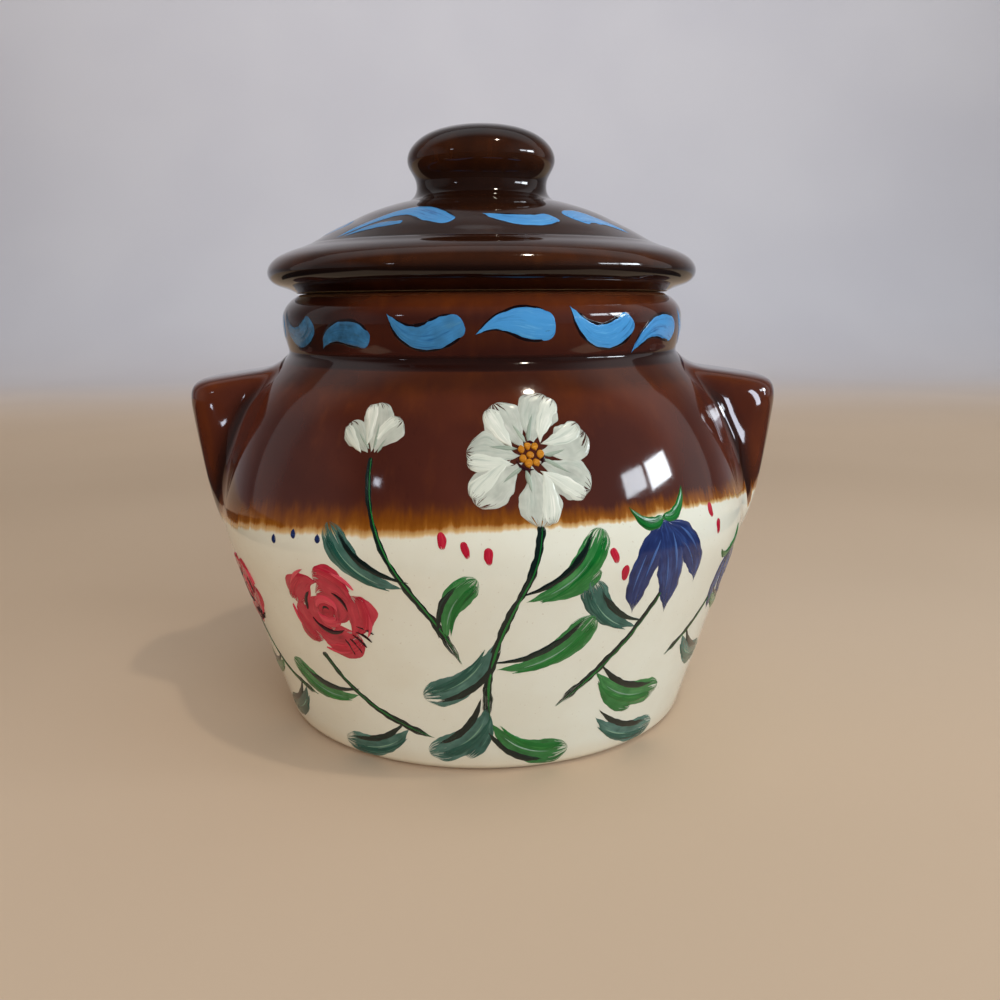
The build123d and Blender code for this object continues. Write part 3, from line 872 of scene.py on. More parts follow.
def leaf(kind, a, b, bow, width, accent=1, twin=0):
    """A comma-stroke leaf, tail at a and pressed end at b (theta, z), with its drags."""
    base = green if kind == "g" else teal
    pa, pb = on_body([a])[0], on_body([b])[0]
    rm = float(np.interp((pa[1] + pb[1]) / 2, S_body.s, S_body.r))
    fa, fb = np.array([pa[0] * rm, pa[1]]), np.array([pb[0] * rm, pb[1]])
    lift = rng.uniform(0.0, 0.06)
    sgn = accent * (1 if bow >= 0 else -1)

    def on(p):
        return np.stack([p[:, 0] / rm, p[:, 1]], -1)

    base.stroke(on(bent(fa, fb, bow)),
                [(0, 0.05), (0.18, 0.30 * width), (0.40, 0.68 * width), (0.64, 0.98 * width),
                 (0.82, width), (1, 0.72 * width)],
                h=0.18, caps=("point", "round"), rough=0.17, nv=25, lift=lift, wash=rng.uniform(0.25, 0.6))
    base.stroke(on(bent(fa, fb, bow, 0.10, rng.uniform(0.90, 0.97), sgn * 0.40 * width)),
                [(0, 0.05), (0.35, 0.24 * width), (0.75, 0.38 * width), (1, 0.26 * width)],
                h=0.13, caps=("point", "round"), rough=0.12, nv=15, lift=lift + 0.13, wash=0.0)
    ink.stroke(on(bent(fa, fb, bow, 0.0, rng.uniform(0.80, 0.95), -sgn * 0.60 * width)),
               [(0, 0.1), (0.3, 0.20 * width), (0.65, 0.30 * width), (0.9, 0.16 * width), (1, 0.05)],
               h=0.10, caps=("point", "point"), rough=0.14, nv=15, lift=lift + 0.12, wash=0.0)
    pale.stroke(on(bent(fa, fb, bow, 0.22, rng.uniform(0.66, 0.82), sgn * rng.uniform(0.0, 0.2) * width)),
                [(0, 0.04), (0.4, 0.08 * width), (1, 0.04)],
                h=0.06, caps=("point", "point"), rough=0.06, nv=9, lift=lift + 0.20)
    if twin:
        # a second, shorter stroke laid beside the first from the same tail
        d = fb - fa
        q = bent(fa, fa + d * 0.72 + np.array([-d[1], d[0]]) / np.hypot(*d) * twin * 1.9 * width, bow * 0.6, 0.16)
        base.stroke(on(q), [(0, 0.05), (0.3, 0.30 * width), (0.7, 0.60 * width), (1, 0.42 * width)],
                    h=0.15, caps=("point", "round"), rough=0.14, nv=17, lift=lift + 0.04, wash=0.2)


# broad leaves along the stems and in a fan at the foot
leaf("g", (8.2, 47.5), (22.0, 63.5), -3.4, 3.6, twin=-1)
leaf("t", (2.5, 37.0), (-12.5, 22.0), 3.6, 3.9, -1)
leaf("g", (3.0, 30.0), (22.0, 42.5), -3.8, 3.7)
leaf("t", (-13.5, 50.5), (-28.5, 64.5), 3.4, 3.4)
leaf("g", (-6.5, 37.5), (-0.5, 53.5), 2.4, 3.2, -1)
leaf("t", (1.5, 20.5), (-13.0, 5.5), 3.8, 4.0, twin=1)
leaf("g", (2.0, 15.0), (21.0, 5.5), -4.2, 4.0, -1)
leaf("g", (24.5, 27.0), (46.0, 17.0), -4.0, 3.9, twin=-1)
leaf("t", (32.5, 37.5), (20.0, 52.0), 3.2, 3.3)
leaf("t", (-17.0, 12.0), (-37.0, 4.5), 3.4, 3.7)
leaf("g", (-28.5, 19.5), (-49.0, 24.5), 3.8, 3.5)
leaf("t", (-48.0, 16.5), (-64.5, 6.0), 3.0, 3.5)
leaf("g", (-57.0, 21.0), (-74.0, 17.5), 2.8, 3.1)
leaf("t", (50.5, 30.0), (67.5, 20.5), -3.2, 3.6)
leaf("g", (59.5, 39.0), (75.5, 34.5), -2.6, 3.0)
leaf("t", (27.0, 13.0), (49.0, 5.0), -3.4, 3.7)

# crimson dabs in two short rows, a few blue ones over the blossom
for t, z in ((-6.5, 62.0), (-2.4, 60.0), (1.6, 58.6), (24.5, 57.0), (27.0, 52.5), (50.5, 63.0), (53.2, 58.4)):
    p = local(t, z, [(-0.6, 1.9), (0, 0), (0.6, -1.9)], rot=rng.uniform(-25, 10))
    red.stroke(p, [(0, 0.7), (0.5, 1.15), (1, 0.45)], h=0.2, caps=("round", "round"), rough=0.14, nv=11)
for t, z in ((-30.5, 60.3), (-36.5, 60.6), (-42.0, 58.5)):
    p = local(t, z, [(-0.8, 0.1), (0, 0), (0.8, 0.1)])
    navy.stroke(p, [(0, 1.0), (0.5, 1.35), (1, 1.0)], h=0.2, caps=("round", "round"), rough=0.14, nv=11)


# =====================================================================
# Materials
# =====================================================================
def srgb(r, g, b, a=1.0):
    def f(c):
        c = c / 255.0
        return c / 12.92 if c <= 0.04045 else ((c + 0.055) / 1.055) ** 2.4
    return (f(r), f(g), f(b), a)


class Nodes:
    def __init__(self, name):
        self.mat = bpy.data.materials.new(name)
        self.mat.use_nodes = True
        self.t = self.mat.node_tree
        self.t.nodes.clear()
        self.out = self.t.nodes.new("ShaderNodeOutputMaterial")
        self.bsdf = self.t.nodes.new("ShaderNodeBsdfPrincipled")
        self.t.links.new(self.bsdf.outputs[0], self.out.inputs[0])

    def new(self, kind, **props):
        n = self.t.nodes.new(kind)
        for k, v in props.items():
            setattr(n, k, v)
        return n

    def link(self, a, b):
        self.t.links.new(a, b)

    def put(self, node, key, value):
        if hasattr(value, "is_output") or isinstance(value, bpy.types.NodeSocket):
            self.link(value, node.inputs[key])
        else:
            node.inputs[key].default_value = value

    def math(self, op, a, b=0.0, c=None, clamp=False):
        n = self.new("ShaderNodeMath", operation=op, use_clamp=clamp)
        self.put(n, 0, a)
        self.put(n, 1, b)
        if c is not None:
            self.put(n, 2, c)
        return n.outputs[0]

    def mix(self, fac, a, b, blend="MIX"):
        n = self.new("ShaderNodeMix", data_type="RGBA", blend_type=blend)
        self.put(n, 0, fac)
        self.put(n, 6, a)
        self.put(n, 7, b)
        return n.outputs[2]

    def step(self, x, lo, hi, a=0.0, b=1.0, interp="SMOOTHSTEP"):
        n = self.new("ShaderNodeMapRange", interpolation_type=interp, clamp=True) \
            if interp != "LINEAR" else self.new("ShaderNodeMapRange", clamp=True)
        self.put(n, 0, x)
        self.put(n, 1, lo)
        self.put(n, 2, hi)
        self.put(n, 3, a)
        self.put(n, 4, b)
        return n.outputs[0]

    def noise(self, vec, scale, detail=2.0, rough=0.5, lac=2.0):
        n = self.new("ShaderNodeTexNoise")
        self.put(n, "Vector", vec)
        self.put(n, "Scale", scale)
        self.put(n, "Detail", detail)
        self.put(n, "Roughness", rough)
        self.put(n, "Lacunarity", lac)
        return n.outputs["Fac"]

    def vmath(self, op, a, b):
        n = self.new("ShaderNodeVectorMath", operation=op)
        self.put(n, 0, a)
        self.put(n, 1, b)
        return n.outputs[0]

    def attr(self, name):
        return self.new("ShaderNodeAttribute", attribute_name=name).outputs["Fac"]

    def ramp(self, x, stops, interp="LINEAR"):
        n = self.new("ShaderNodeValToRGB")
        n.color_ramp.interpolation = interp
        el = n.color_ramp.elements
        while len(el) > 1:
            el.remove(el[-1])
        el[0].position, el[0].color = stops[0]
        for pos, col in stops[1:]:
            e = el.new(pos)
            e.color = col
        self.put(n, 0, x)
        return n.outputs[0]

    def bump(self, height, strength, distance, normal=None):
        n = self.new("ShaderNodeBump")
        self.put(n, "Strength", strength)
        self.put(n, "Distance", distance)
        self.put(n, "Height", height)
        if normal is not None:
            self.link(normal, n.inputs["Normal"])
        return n.outputs[0]


def brown_colour(n, pos, thin, pool_and_shade, deep, mid, warm, drawn, pooled_and_shaded):
    """Layered brown glaze: dark where it lies thick and where shade is painted, amber where it draws thin."""
    cloud = n.noise(pos, 26.0, 3.0, 0.55)
    runs = n.noise(n.vmath("MULTIPLY", pos, (1.0, 1.0, 0.10)), 210.0, 3.0, 0.6)
    fine = n.noise(n.vmath("MULTIPLY", pos, (1.0, 1.0, 0.35)), 900.0, 2.0, 0.6)
    base = n.mix(n.step(cloud, 0.35, 0.68), deep, mid)
    base = n.mix(n.math("MULTIPLY", n.step(runs, 0.52, 0.82), 0.35), base, warm)
    base = n.mix(n.math("MULTIPLY", n.step(fine, 0.55, 0.85), 0.18), base, srgb(36, 14, 9))
    mottle = n.noise(n.vmath("MULTIPLY", pos, (1.0, 1.0, 0.45)), 125.0, 2.0, 0.5)
    t = n.math("MULTIPLY", thin, n.step(runs, 0.25, 0.75, 0.6, 1.0))
    t = n.math("MULTIPLY", t, n.step(mottle, 0.3, 0.7, 0.55, 1.25))
    base = n.mix(n.math("MULTIPLY", t, 0.85, clamp=True), base, drawn)
    base = n.mix(n.math("MULTIPLY", pool_and_shade, 0.85, clamp=True), base, pooled_and_shaded)
    return base, runs, fine


def finish_glaze(n, colour, rough, fine_pos, height=None, wave=0.30):
    orange = n.noise(fine_pos, 520.0, 2.0, 0.5)
    slow = n.noise(fine_pos, 85.0, 1.0, 0.4)
    nrm = n.bump(slow, wave, 0.00010)
    nrm = n.bump(orange, 0.10, 0.000012, nrm)
    if height is not None:
        nrm = n.bump(height, 0.9, 0.00022, nrm)
    n.put(n.bsdf, "Base Color", colour)
    n.put(n.bsdf, "Roughness", rough)
    n.link(nrm, n.bsdf.inputs["Normal"])
    n.bsdf.inputs["IOR"].default_value = 1.55


def two_tone():
    n = Nodes("two_tone_glaze")
    pos = n.new("ShaderNodeTexCoord").outputs["Object"]
    sep = n.new("ShaderNodeSeparateXYZ")
    n.link(pos, sep.inputs[0])
    x, y, z = sep.outputs
    thin, pool_and_shade = n.attr("thin"), n.attr("pool_and_shade")
    inside, bare = n.attr("inside"), n.attr("bare")
    # darker on the front left of the collar: partly thicker glaze, partly painted shade under the brim
    left = n.math("MULTIPLY", n.step(x, -0.038, -0.022, 0.90, 0.0), n.step(y, 0.025, -0.01))
    left = n.math("MULTIPLY", left, n.step(z, 0.0995, 0.1015))
    brown, runs, fine = brown_colour(n, pos, thin, n.math("MAXIMUM", pool_and_shade, left), srgb(65, 29, 22),
                                     srgb(84, 39, 27), srgb(101, 50, 27), srgb(128, 62, 12),
                                     srgb(18, 7, 6))
    # dip line: a nearly level plane, a little ragged (metres)
    line_z = n.math("ADD", 0.05757, n.math("MULTIPLY", x, 0.0400))
    line_z = n.math("ADD", line_z, n.math("MULTIPLY", y, -0.1004))
    flatpos = n.vmath("MULTIPLY", pos, (1.0, 1.0, 0.0))
    drift = n.noise(flatpos, 24.0, 2.0, 0.5)
    drip = n.noise(n.vmath("MULTIPLY", pos, (1.0, 1.0, 0.05)), 420.0, 2.0, 0.55)
    hair = n.noise(n.vmath("MULTIPLY", pos, (1.0, 1.0, 0.04)), 1100.0, 2.0, 0.6)
    line_z = n.math("ADD", line_z, n.step(drift, 0.3, 0.7, -0.0010, 0.0010, "LINEAR"))
    # where the mask of pooled glaze and painted shade is high (the lug creases) the brown reaches lower, carrying the
    # painted crease shade down into the cream
    line_z = n.math("SUBTRACT", line_z, n.math("MULTIPLY", n.step(pool_and_shade, 0.78, 1.0), 0.0042))
    d = n.math("SUBTRACT", z, line_z)
    d_edge = n.math("ADD", d, n.step(drip, 0.25, 0.75, -0.0005, 0.0005, "LINEAR"))
    d_edge = n.math("ADD", d_edge, n.step(hair, 0.25, 0.75, -0.00022, 0.00022, "LINEAR"))
    # streaks matter more higher up in the fringe
    d_in = n.math("ADD", d, n.step(drip, 0.25, 0.75, -0.0013, 0.0013, "LINEAR"))
    d_in = n.math("ADD", d_in, n.step(hair, 0.25, 0.75, -0.0006, 0.0006, "LINEAR"))
    u = n.math("MULTIPLY", d_edge, 100.0)
    ui = n.math("MULTIPLY", d_in, n.step(x, -0.02, 0.035, 88.0, 150.0))
    fringe = n.ramp(n.math("ADD", n.math("MULTIPLY", ui, 0.8), 0.1, clamp=True), [
        (0.05, srgb(186, 138, 78)), (0.12, srgb(158, 106, 42)), (0.18, srgb(138, 82, 22)),
        (0.28, srgb(120, 66, 12)), (0.42, srgb(106, 56, 16)), (0.60, srgb(84, 42, 22))])
    # the edge is sharper at the right
    ue = n.math("MULTIPLY", u, n.step(x, -0.02, 0.045, 1.0, 1.7))
    rim = n.ramp(n.math("ADD", n.math("MULTIPLY", ue, 2.2), 0.5, clamp=True), [
        (0.20, srgb(222, 211, 186)), (0.42, srgb(204, 170, 116)), (0.68, srgb(162, 108, 46))])
    cloud = n.noise(pos, 60.0, 3.0, 0.6)
    speck = n.noise(pos, 1500.0, 1.0, 0.5)
    cream = n.mix(n.step(cloud, 0.3, 0.7), srgb(224, 226, 214), srgb(220, 220, 206))
    cream = n.mix(n.math("MULTIPLY", n.step(speck, 0.71, 0.78), 0.25), cream, srgb(160, 132, 98))
    low = n.step(z, 0.001, 0.007, 0.35, 0.0)
    cream = n.mix(low, cream, srgb(205, 184, 150))
    col = n.mix(n.step(ue, -0.15, -0.07), cream, rim)
    col = n.mix(n.step(ue, 0.02, 0.11), col, fringe)
    col = n.mix(n.step(ui, 0.26, 0.72), col, brown)
    col = n.mix(inside, col, n.mix(0.35, brown, srgb(96, 46, 24)))
    col = n.mix(bare, col, srgb(196, 176, 146))
    rough = n.step(fine, 0.2, 0.8, 0.05, 0.09)
    rough = n.math("ADD", rough, n.math("MULTIPLY", bare, 0.6))
    # the brown coat stands a little proud of the cream
    height = n.math("ADD", n.step(u, -0.06, 0.06), n.math("MULTIPLY", n.step(u, 0.0, 0.45), 0.35))
    height = n.math("MAXIMUM", height, inside)
    finish_glaze(n, col, rough, pos, height)
    return n.mat


def brown_glaze():
    n = Nodes("brown_glaze")
    pos = n.new("ShaderNodeTexCoord").outputs["Object"]
    thin, pool_and_shade, bare = n.attr("thin"), n.attr("pool_and_shade"), n.attr("bare")
    brown, runs, fine = brown_colour(n, pos, thin, pool_and_shade, srgb(29, 14, 9), srgb(44, 22, 12),
                                     srgb(66, 38, 16), srgb(136, 68, 18), srgb(10, 3, 3))
    col = n.mix(bare, brown, srgb(186, 160, 128))
    rough = n.step(fine, 0.2, 0.8, 0.05, 0.09)
    rough = n.math("ADD", rough, n.math("MULTIPLY", bare, 0.6))
    finish_glaze(n, col, rough, pos)
    return n.mat


def paint_mat(name, dark_c, mid_c, light_c, rough=0.16, dry=0.0, rim=0.0, contrast=1.0, wash_c=None):
    """Brushed colour: bristle streaks run along each stroke (UV u along, v across)."""
    n = Nodes(name)
    uv = n.new("ShaderNodeTexCoord").outputs["UV"]
    pos = n.new("ShaderNodeTexCoord").outputs["Object"]
    s1 = n.noise(n.vmath("MULTIPLY", uv, (0.9, 6.0, 1.0)), 1.0, 3.0, 0.6)
    s2 = n.noise(n.vmath("MULTIPLY", uv, (1.6, 22.0, 1.0)), 1.0, 2.0, 0.6)
    blot = n.noise(pos, 330.0, 2.0, 0.5)
    f = n.math("ADD", n.math("MULTIPLY", s1, 0.55), n.math("MULTIPLY", s2, 0.30))
    f = n.math("ADD", f, n.math("MULTIPLY", blot, 0.15))
    f = n.math("ADD", f, n.step(n.attr("shade"), 0.0, 1.0, -0.05, 0.05, "LINEAR"))
    k = 0.16 / contrast
    col = n.ramp(n.step(f, 0.5 - k, 0.5 + k, 0.0, 1.0, "LINEAR"),
                 [(0.0, dark_c), (0.40, mid_c), (0.62, mid_c), (1.0, light_c)])
    if rim > 0:
        sep = n.new("ShaderNodeSeparateXYZ")
        n.link(uv, sep.inputs[0])
        e = n.math("ABSOLUTE", n.math("SUBTRACT", sep.outputs[1], 0.5))
        e = n.math("ADD", e, n.step(blot, 0.3, 0.7, -0.03, 0.03, "LINEAR"))
        col = n.mix(n.math("MULTIPLY", n.step(e, 0.36, 0.49), rim), col, dark_c)
    if wash_c is not None:
        # thin paint through which the dark glaze shows in patches
        patch = n.math("ADD", n.step(blot, 0.25, 0.75, 0.35, 1.25, "LINEAR"), n.step(s1, 0.3, 0.7, -0.2, 0.2, "LINEAR"))
        col = n.mix(n.math("MULTIPLY", n.attr("wash"), patch, clamp=True), col, wash_c)
    n.put(n.bsdf, "Base Color", col)
    n.put(n.bsdf, "Roughness", rough)
    nrm = n.bump(s2, 0.35, 0.00006)
    n.link(nrm, n.bsdf.inputs["Normal"])
    n.bsdf.inputs["IOR"].default_value = 1.48
    if dry > 0:
        # bristle gaps towards the end of the stroke
        a = n.attr("along")
        end = n.math("MAXIMUM", n.step(a, 0.62, 1.0), n.math("MULTIPLY", n.step(a, 0.14, 0.0), 0.6))
        thr = n.math("ADD", 0.22, n.math("MULTIPLY", end, 0.30 * dry))
        gap = n.math("SUBTRACT", s2, thr)
        n.put(n.bsdf, "Alpha", n.step(gap, -0.015, 0.015))
    return n.mat


mat_two = two_tone()
mat_brown = brown_glaze()
for ob in (pot, lug_l, lug_r):
    ob.data.materials.append(mat_two)
for ob in (lid, knob):
    ob.data.materials.append(mat_brown)

blue = paint_mat("paint_sky_blue", srgb(38, 98, 158), srgb(72, 150, 214), srgb(102, 176, 228),
                 rough=0.10, dry=0.20, rim=0.45, contrast=0.9, wash_c=srgb(30, 48, 62))
# near-black glossy outline under each blue stroke: partly pooled glaze, partly painted shadow
stroke_pool_and_shadow_mat = paint_mat("paint_pool_and_shadow", srgb(14, 6, 10), srgb(20, 9, 13), srgb(30, 14, 14), rough=0.07)
for p, m in ((border, blue), (dome, blue), (border_pool_and_shadow, stroke_pool_and_shadow_mat), (dome_pool_and_shadow, stroke_pool_and_shadow_mat)):
    p.make(m)
white.make(paint_mat("paint_off_white", srgb(168, 182, 172), srgb(208, 214, 203), srgb(236, 237, 228),
                     dry=0.9, rim=0.0, wash_c=srgb(140, 146, 138)))
grey.make(paint_mat("paint_grey_green", srgb(122, 138, 128), srgb(150, 164, 150), srgb(184, 196, 180), dry=1.0))
amber.make(paint_mat("paint_ochre", srgb(106, 58, 12), srgb(186, 120, 26), srgb(222, 168, 60)))
navy.make(paint_mat("paint_navy", srgb(10, 16, 44), srgb(20, 34, 84), srgb(44, 72, 132), dry=0.9,
                    wash_c=srgb(46, 66, 116)))
sky.make(paint_mat("paint_mid_blue", srgb(34, 60, 118), srgb(60, 94, 154), srgb(104, 136, 186), dry=1.0))
red.make(paint_mat("paint_crimson", srgb(122, 8, 32), srgb(172, 22, 50), srgb(204, 54, 72), dry=0.9,
                   wash_c=srgb(196, 70, 84)))
rose.make(paint_mat("paint_rose", srgb(176, 34, 60), srgb(206, 62, 82), srgb(226, 112, 118), dry=1.0))
dark.make(paint_mat("paint_dark_red", srgb(24, 8, 12), srgb(40, 10, 18), srgb(84, 14, 30), dry=0.6))
green.make(paint_mat("paint_leaf_green", srgb(4, 62, 24), srgb(12, 104, 40), srgb(58, 140, 66), dry=0.9,
                     wash_c=srgb(84, 140, 92)))
teal.make(paint_mat("paint_teal_green", srgb(12, 40, 38), srgb(28, 80, 70), srgb(86, 132, 116), dry=1.0,
                    wash_c=srgb(92, 130, 122)))
ink.make(paint_mat("paint_black_green", srgb(6, 14, 14), srgb(14, 30, 28), srgb(34, 70, 56), dry=0.9))
pale.make(paint_mat("paint_pale_green", srgb(84, 132, 110), srgb(120, 158, 136), srgb(168, 192, 172), dry=1.0))

# =====================================================================
# Floor, backdrop, light
# =====================================================================
def stage_mesh(name, v, f, back, glow, mat):
    ob = make_mesh(name, v, f, {"back": back, "glow": glow})
    ob.data.materials.append(mat)
    return ob


def wall_share(d):
    """How far the floor's colour has turned into the wall's, by the distance from the wall (mm)."""
    return float(1 - smooth(np.array([d]), 150.0, 1100.0)[0])


def far_glow(x, y):
    """The floor far in front of the pot and beside it, past the reach of the lamps, is kept pale (mm)."""
    ahead = float(smooth(np.array([-y]), 1050.0, 1900.0)[0])
    beside = float((smooth(np.array([abs(x)]), 1500.0, 3200.0) * smooth(np.array([-y]), -300.0, 700.0))[0])
    return 0.55 * max(ahead, beside)


def stage_plane():
    """Floor and a curved wall behind the pot, then the same wall on round the other sides."""
    n = Nodes("studio_floor")
    soft = n.noise(n.new("ShaderNodeTexCoord").outputs["Object"], 3.0, 2.0, 0.5)
    flo = n.mix(n.step(soft, 0.3, 0.7), srgb(210, 188, 164), srgb(204, 182, 158))
    wall = n.mix(n.step(soft, 0.3, 0.7), srgb(206, 206, 212), srgb(201, 201, 208))
    col = n.mix(n.attr("back"), flo, wall)
    n.put(n.bsdf, "Base Color", col)
    n.put(n.bsdf, "Emission Color", col)
    n.put(n.bsdf, "Emission Strength", n.math("MULTIPLY", n.attr("glow"), 0.34))
    n.put(n.bsdf, "Roughness", 0.7)
    n.bsdf.inputs["Specular IOR Level"].default_value = 0.0

    prof = [(y, 0.0) for y in np.linspace(-2.2, 1.15, 24)]
    for a in np.linspace(0, math.pi / 2, 20)[1:]:
        prof.append((1.15 + 0.5 * math.sin(a), 0.5 - 0.5 * math.cos(a)))
    prof += [(1.65, z) for z in np.linspace(0.5, 2.6, 12)[1:]]
    v, f, back = [], [], []
    xs = np.linspace(-3.4, 3.4, 9)
    for (y, z) in prof:
        for xx in xs:
            v.append((xx * 1000, y * 1000, z * 1000))
            back.append(wall_share(1650 - y * 1000))
    w = len(xs)
    for i in range(len(prof) - 1):
        for j in range(w - 1):
            a = i * w + j
            f.append((a, a + 1, a + w + 1, a + w))
    stage_mesh("studio_floor", v, f, back, [far_glow(q[0], q[1]) for q in v], n.mat)

    # plan of the rest: wall point, inward direction, nearest point of the floor above
    side = []
    for a in np.radians(np.linspace(90, 0, 19)):
        c, q = math.cos(a), math.sin(a)
        side.append(((3400 + 1800 * c, -150 + 1800 * q), (-c, -q), (3400, -150 + 1300 * q)))
    side += [((5200, y), (-1, 0), (3400, y)) for y in np.linspace(-150, -2200, 8)[1:]]
    for a in np.radians(np.linspace(0, -90, 19))[1:]:
        c, q = math.cos(a), math.sin(a)
        side.append(((3400 + 1800 * c, -2200 + 1800 * q), (-c, -q), (3400, -2200)))
    side += [((x, -4000), (0, 1), (x, -2200)) for x in np.linspace(3400, 0, 7)[1:]]
    side += [((-p[0], p[1]), (-i[0], i[1]), (-g[0], g[1])) for p, i, g in side[-2::-1]]
    v, f, back, glow = [], [], [], []
    for k, (p, i, g) in enumerate(side):
        lit = float(smooth(np.array([min(k, len(side) - 1 - k)]), 0, 15)[0])
        low = (p[0] + 500 * i[0], p[1] + 500 * i[1])
        full = math.hypot(p[0] - g[0], p[1] - g[1])
        for k in np.linspace(0, 1, 9):
            v.append((g[0] + (low[0] - g[0]) * k, g[1] + (low[1] - g[1]) * k, 0.0))
            back.append(wall_share(full + (500 - full) * k))
            glow.append(max(far_glow(*v[-1][:2]), lit * 0.55 * float(smooth(np.array([k]), 0, 1)[0])))
        for a in np.linspace(0, math.pi / 2, 20)[1:]:
            d = 500 * (1 - math.sin(a))
            v.append((p[0] + i[0] * d, p[1] + i[1] * d, 500 - 500 * math.cos(a)))
            back.append(wall_share(d))
            glow.append(max(far_glow(*v[-1][:2]), lit * (0.55 + 0.45 * a / (math.pi / 2))))
        for z in np.linspace(500, 5200, 12)[1:]:
            v.append((p[0], p[1], z))
            back.append(1.0)
            glow.append(lit)
    w = len(v) // len(side)
    for i in range(len(side) - 1):
        for j in range(w - 1):
            a = i * w + j
            f.append((a, a + 1, a + w + 1, a + w))
    rest = stage_mesh("studio_surround", v, f, back, glow, n.mat)
    for kind in ("glossy", "diffuse", "shadow", "transmission", "volume_scatter"):
        setattr(rest, "visible_" + kind, False)


stage_plane()


def area(name, direction, dist, size, power, colour, glossy=True, target=(0, 0, 0.075), spread=180):
    az, el = map(math.radians, direction)
    d = Vector((math.sin(az) * math.cos(el), -math.cos(az) * math.cos(el), math.sin(el)))
    li = bpy.data.lights.new(name, "AREA")
    li.shape = "RECTANGLE"
    li.size, li.size_y = size
    li.energy = power
    li.color = colour
    li.spread = math.radians(spread)
    ob = bpy.data.objects.new(name, li)
    ob.location = Vector(target) + d * dist
    ob.rotation_mode = "QUATERNION"
    ob.rotation_quaternion = (-d).to_track_quat("-Z", "Y")
    ob.visible_glossy = glossy
    ob.visible_camera = False
    scene.collection.objects.link(ob)
    return ob


def glint(name, end_a, end_b, at, dist, width, power, on):
    """A strip of window light that one lug alone mirrors. The directions of its ends are given."""
    at = Vector(at)
    a, b = (at + dist * Vector((math.sin(az) * math.cos(el), -math.cos(az) * math.cos(el), math.sin(el)))
            for az, el in (map(math.radians, e) for e in (end_a, end_b)))
    ob = area(name, (0, 0), dist, (width, (a - b).length), power, (0.80, 0.86, 1.0), target=at)
    mid = (a + b) / 2
    back = (mid - at).normalized()
    along = ((a - b) - (a - b).dot(back) * back).normalized()
    ob.location = mid
    ob.rotation_quaternion = Matrix((along.cross(back), along, back)).transposed().to_quaternion()
    ob.visible_diffuse = False
    seen_on = bpy.data.collections.new(name + "_on")
    seen_on.objects.link(on)
    ob.light_linking.receiver_collection = seen_on


# two window panes at the right, a small warm lamp overhead, soft unseen fills
area("window_pane_a", (81.5, 16.3), 1.12, (0.24, 0.155), 2.6, (0.86, 0.93, 1.0))
area("window_pane_b", (67.5, 17.0), 1.12, (0.21, 0.125), 1.05, (0.84, 0.92, 1.0))
glint("glint_right", (35, 16), (57, -11), (0.067, -0.020, 0.082), 0.50, 0.095, 1.30, lug_r)
glint("glint_right_root", (80, 25), (80, 3), (0.060, -0.024, 0.084), 1.05, 0.11, 1.60, lug_r)
glint("glint_left", (-42.5, -6), (-39, -7), (-0.070, -0.020, 0.084), 0.30, 0.022, 0.018, lug_l)
area("window_far_left", (-45, 21), 1.1, (0.055, 0.045), 0.10, (0.80, 0.86, 1.0))
area("lamp_light", (42, 66), 1.0, (0.04, 0.04), 1.3, (1.0, 0.88, 0.72))
area("fill_front", (14, 25), 1.5, (1.4, 1.0), 12.2, (0.97, 0.99, 1.0), glossy=False)
area("fill_top", (10, 82), 1.6, (1.6, 1.4), 5.8, (0.98, 0.99, 1.0), glossy=False)
area("fill_low_right", (48, 13), 1.8, (1.1, 0.5), 3.8, (0.82, 0.94, 1.0), glossy=False)
area("fill_left_warm", (-66, 13), 1.8, (1.0, 0.5), 5.6, (1.0, 0.68, 0.40), glossy=False)
area("wall_light", (0, 30), 0.9, (2.4, 0.6), 7.0, (0.96, 0.97, 1.0), glossy=False,
     target=(0, 1.6, 0.42))
area("wall_light_high", (0, 0), 0.8, (2.4, 0.5), 1.2, (0.96, 0.97, 1.0), glossy=False,
     target=(0, 1.6, 1.95))

# a matt black flag flat on the floor behind the camera, seen by reflections only
flag = make_mesh("studio_flag", np.array([
    [-3400, -2200, 2], [3400, -2200, 2], [3400, -150, 2], [-3400, -150, 2],
    [-3400, 260, 2], [-230, 260, 2], [-230, -150, 2],
    [230, -150, 2], [230, 260, 2], [3400, 260, 2]]),
    [(0, 1, 2, 7, 6, 3), (3, 6, 5, 4), (7, 2, 9, 8)])
fn = Nodes("studio_flag")
fn.bsdf.inputs["Base Color"].default_value = (0.02, 0.02, 0.02, 1)
fn.bsdf.inputs["Roughness"].default_value = 0.9
flag.data.materials.append(fn.mat)
for kind in ("camera", "diffuse", "shadow", "transmission", "volume_scatter"):
    setattr(flag, "visible_" + kind, False)

# surroundings: pale behind the pot, dim on the side the camera stands
world = bpy.data.worlds.new("studio_world")
world.use_nodes = True
wt = world.node_tree
wt.nodes.clear()
wo = wt.nodes.new("ShaderNodeOutputWorld")
bg = wt.nodes.new("ShaderNodeBackground")
tc = wt.nodes.new("ShaderNodeTexCoord")
sp = wt.nodes.new("ShaderNodeSeparateXYZ")
mr = wt.nodes.new("ShaderNodeMapRange")
mr.interpolation_type = "SMOOTHSTEP"
mr.inputs[1].default_value = -0.12
mr.inputs[2].default_value = 0.25
mr.inputs[3].default_value = 0.06
mr.inputs[4].default_value = 0.44
mx = wt.nodes.new("ShaderNodeMapRange")
mx.interpolation_type = "SMOOTHSTEP"
mx.inputs[1].default_value = 0.30
mx.inputs[2].default_value = 0.85
mx.inputs[3].default_value = 0.0
mx.inputs[4].default_value = 0.18
left = wt.nodes.new("ShaderNodeMapRange")
left.interpolation_type = "SMOOTHSTEP"
left.inputs[1].default_value = -0.35
left.inputs[2].default_value = -0.90
left.inputs[3].default_value = 1.0
left.inputs[4].default_value = 0.62
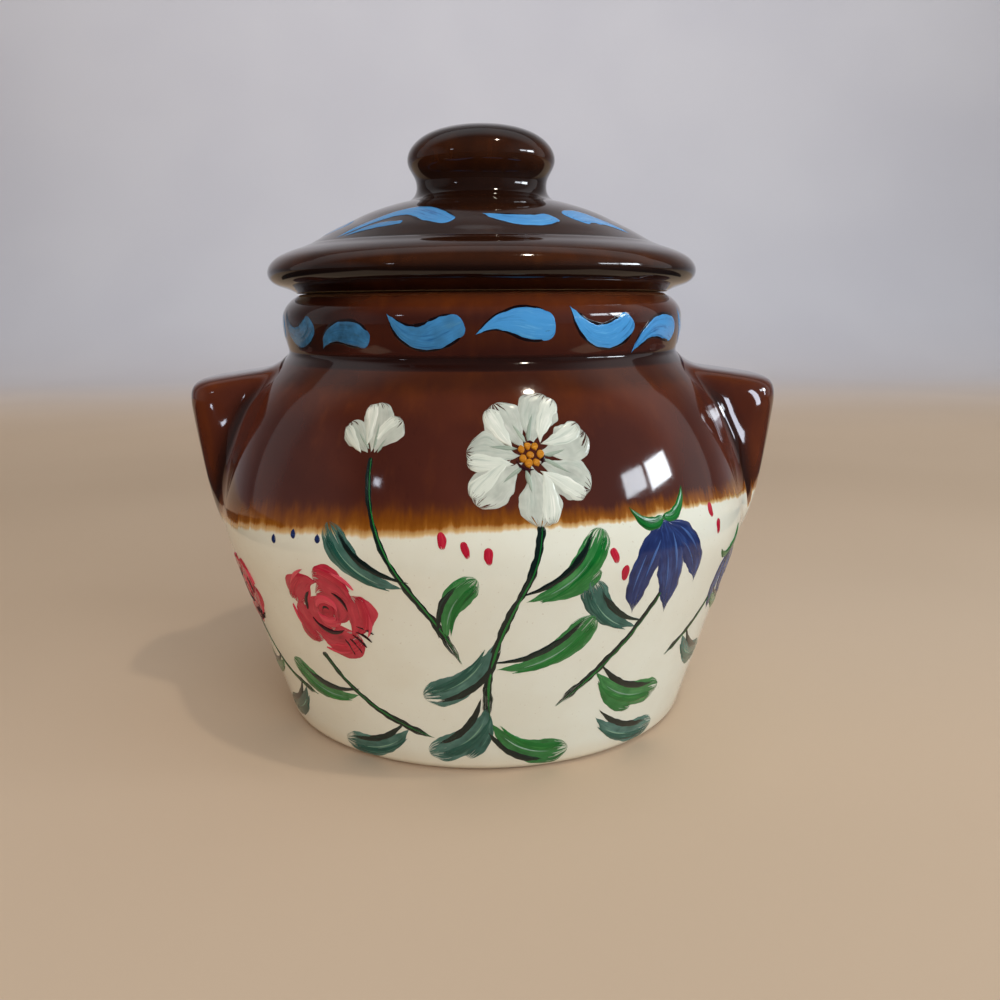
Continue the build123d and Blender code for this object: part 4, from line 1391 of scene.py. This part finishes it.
glow = wt.nodes.new("ShaderNodeMapRange")
glow.interpolation_type = "SMOOTHSTEP"
glow.inputs[1].default_value = -0.66
glow.inputs[2].default_value = -0.95
glow.inputs[3].default_value = 0.0
glow.inputs[4].default_value = 0.17
mul = wt.nodes.new("ShaderNodeMath")
mul.operation = "MULTIPLY"
mm = wt.nodes.new("ShaderNodeMath")
mm.operation = "MAXIMUM"
m2 = wt.nodes.new("ShaderNodeMath")
m2.operation = "MAXIMUM"
wt.links.new(tc.outputs["Generated"], sp.inputs[0])
wt.links.new(sp.outputs[1], mr.inputs[0])
for part in (mx, left, glow):
    wt.links.new(sp.outputs[0], part.inputs[0])
wt.links.new(mr.outputs[0], mul.inputs[0])
wt.links.new(left.outputs[0], mul.inputs[1])
wt.links.new(mul.outputs[0], mm.inputs[0])
wt.links.new(mx.outputs[0], mm.inputs[1])
wt.links.new(mm.outputs[0], m2.inputs[0])
wt.links.new(glow.outputs[0], m2.inputs[1])
wt.links.new(m2.outputs[0], bg.inputs[1])
bg.inputs[0].default_value = (0.96, 0.97, 1.0, 1)
wt.links.new(bg.outputs[0], wo.inputs[0])
scene.world = world
scene.view_settings.view_transform = "Standard"
scene.view_settings.look = "None"

# =====================================================================
# Camera
# =====================================================================
F_PX, PITCH, ROLL = 960.0, math.atan(195.0 / 960.0), 0.00635
cam = bpy.data.cameras.new("camera")
cam.lens = F_PX / 1000.0 * 36.0
cam.sensor_width = 36.0
cam.clip_start = 0.01
cam.clip_end = 20.0
cam_ob = bpy.data.objects.new("camera", cam)
fwd = Vector((0, math.cos(PITCH), -math.sin(PITCH)))
up0 = Vector((0, math.sin(PITCH), math.cos(PITCH)))
right0 = Vector((1, 0, 0))
right = right0 * math.cos(ROLL) - up0 * math.sin(ROLL)
up = up0 * math.cos(ROLL) + right0 * math.sin(ROLL)
m = Matrix((right, up, -fwd)).transposed().to_4x4()
m.translation = Vector((0.00453, -0.27291, 0.11182))
cam_ob.matrix_world = m
scene.collection.objects.link(cam_ob)
scene.camera = cam_ob
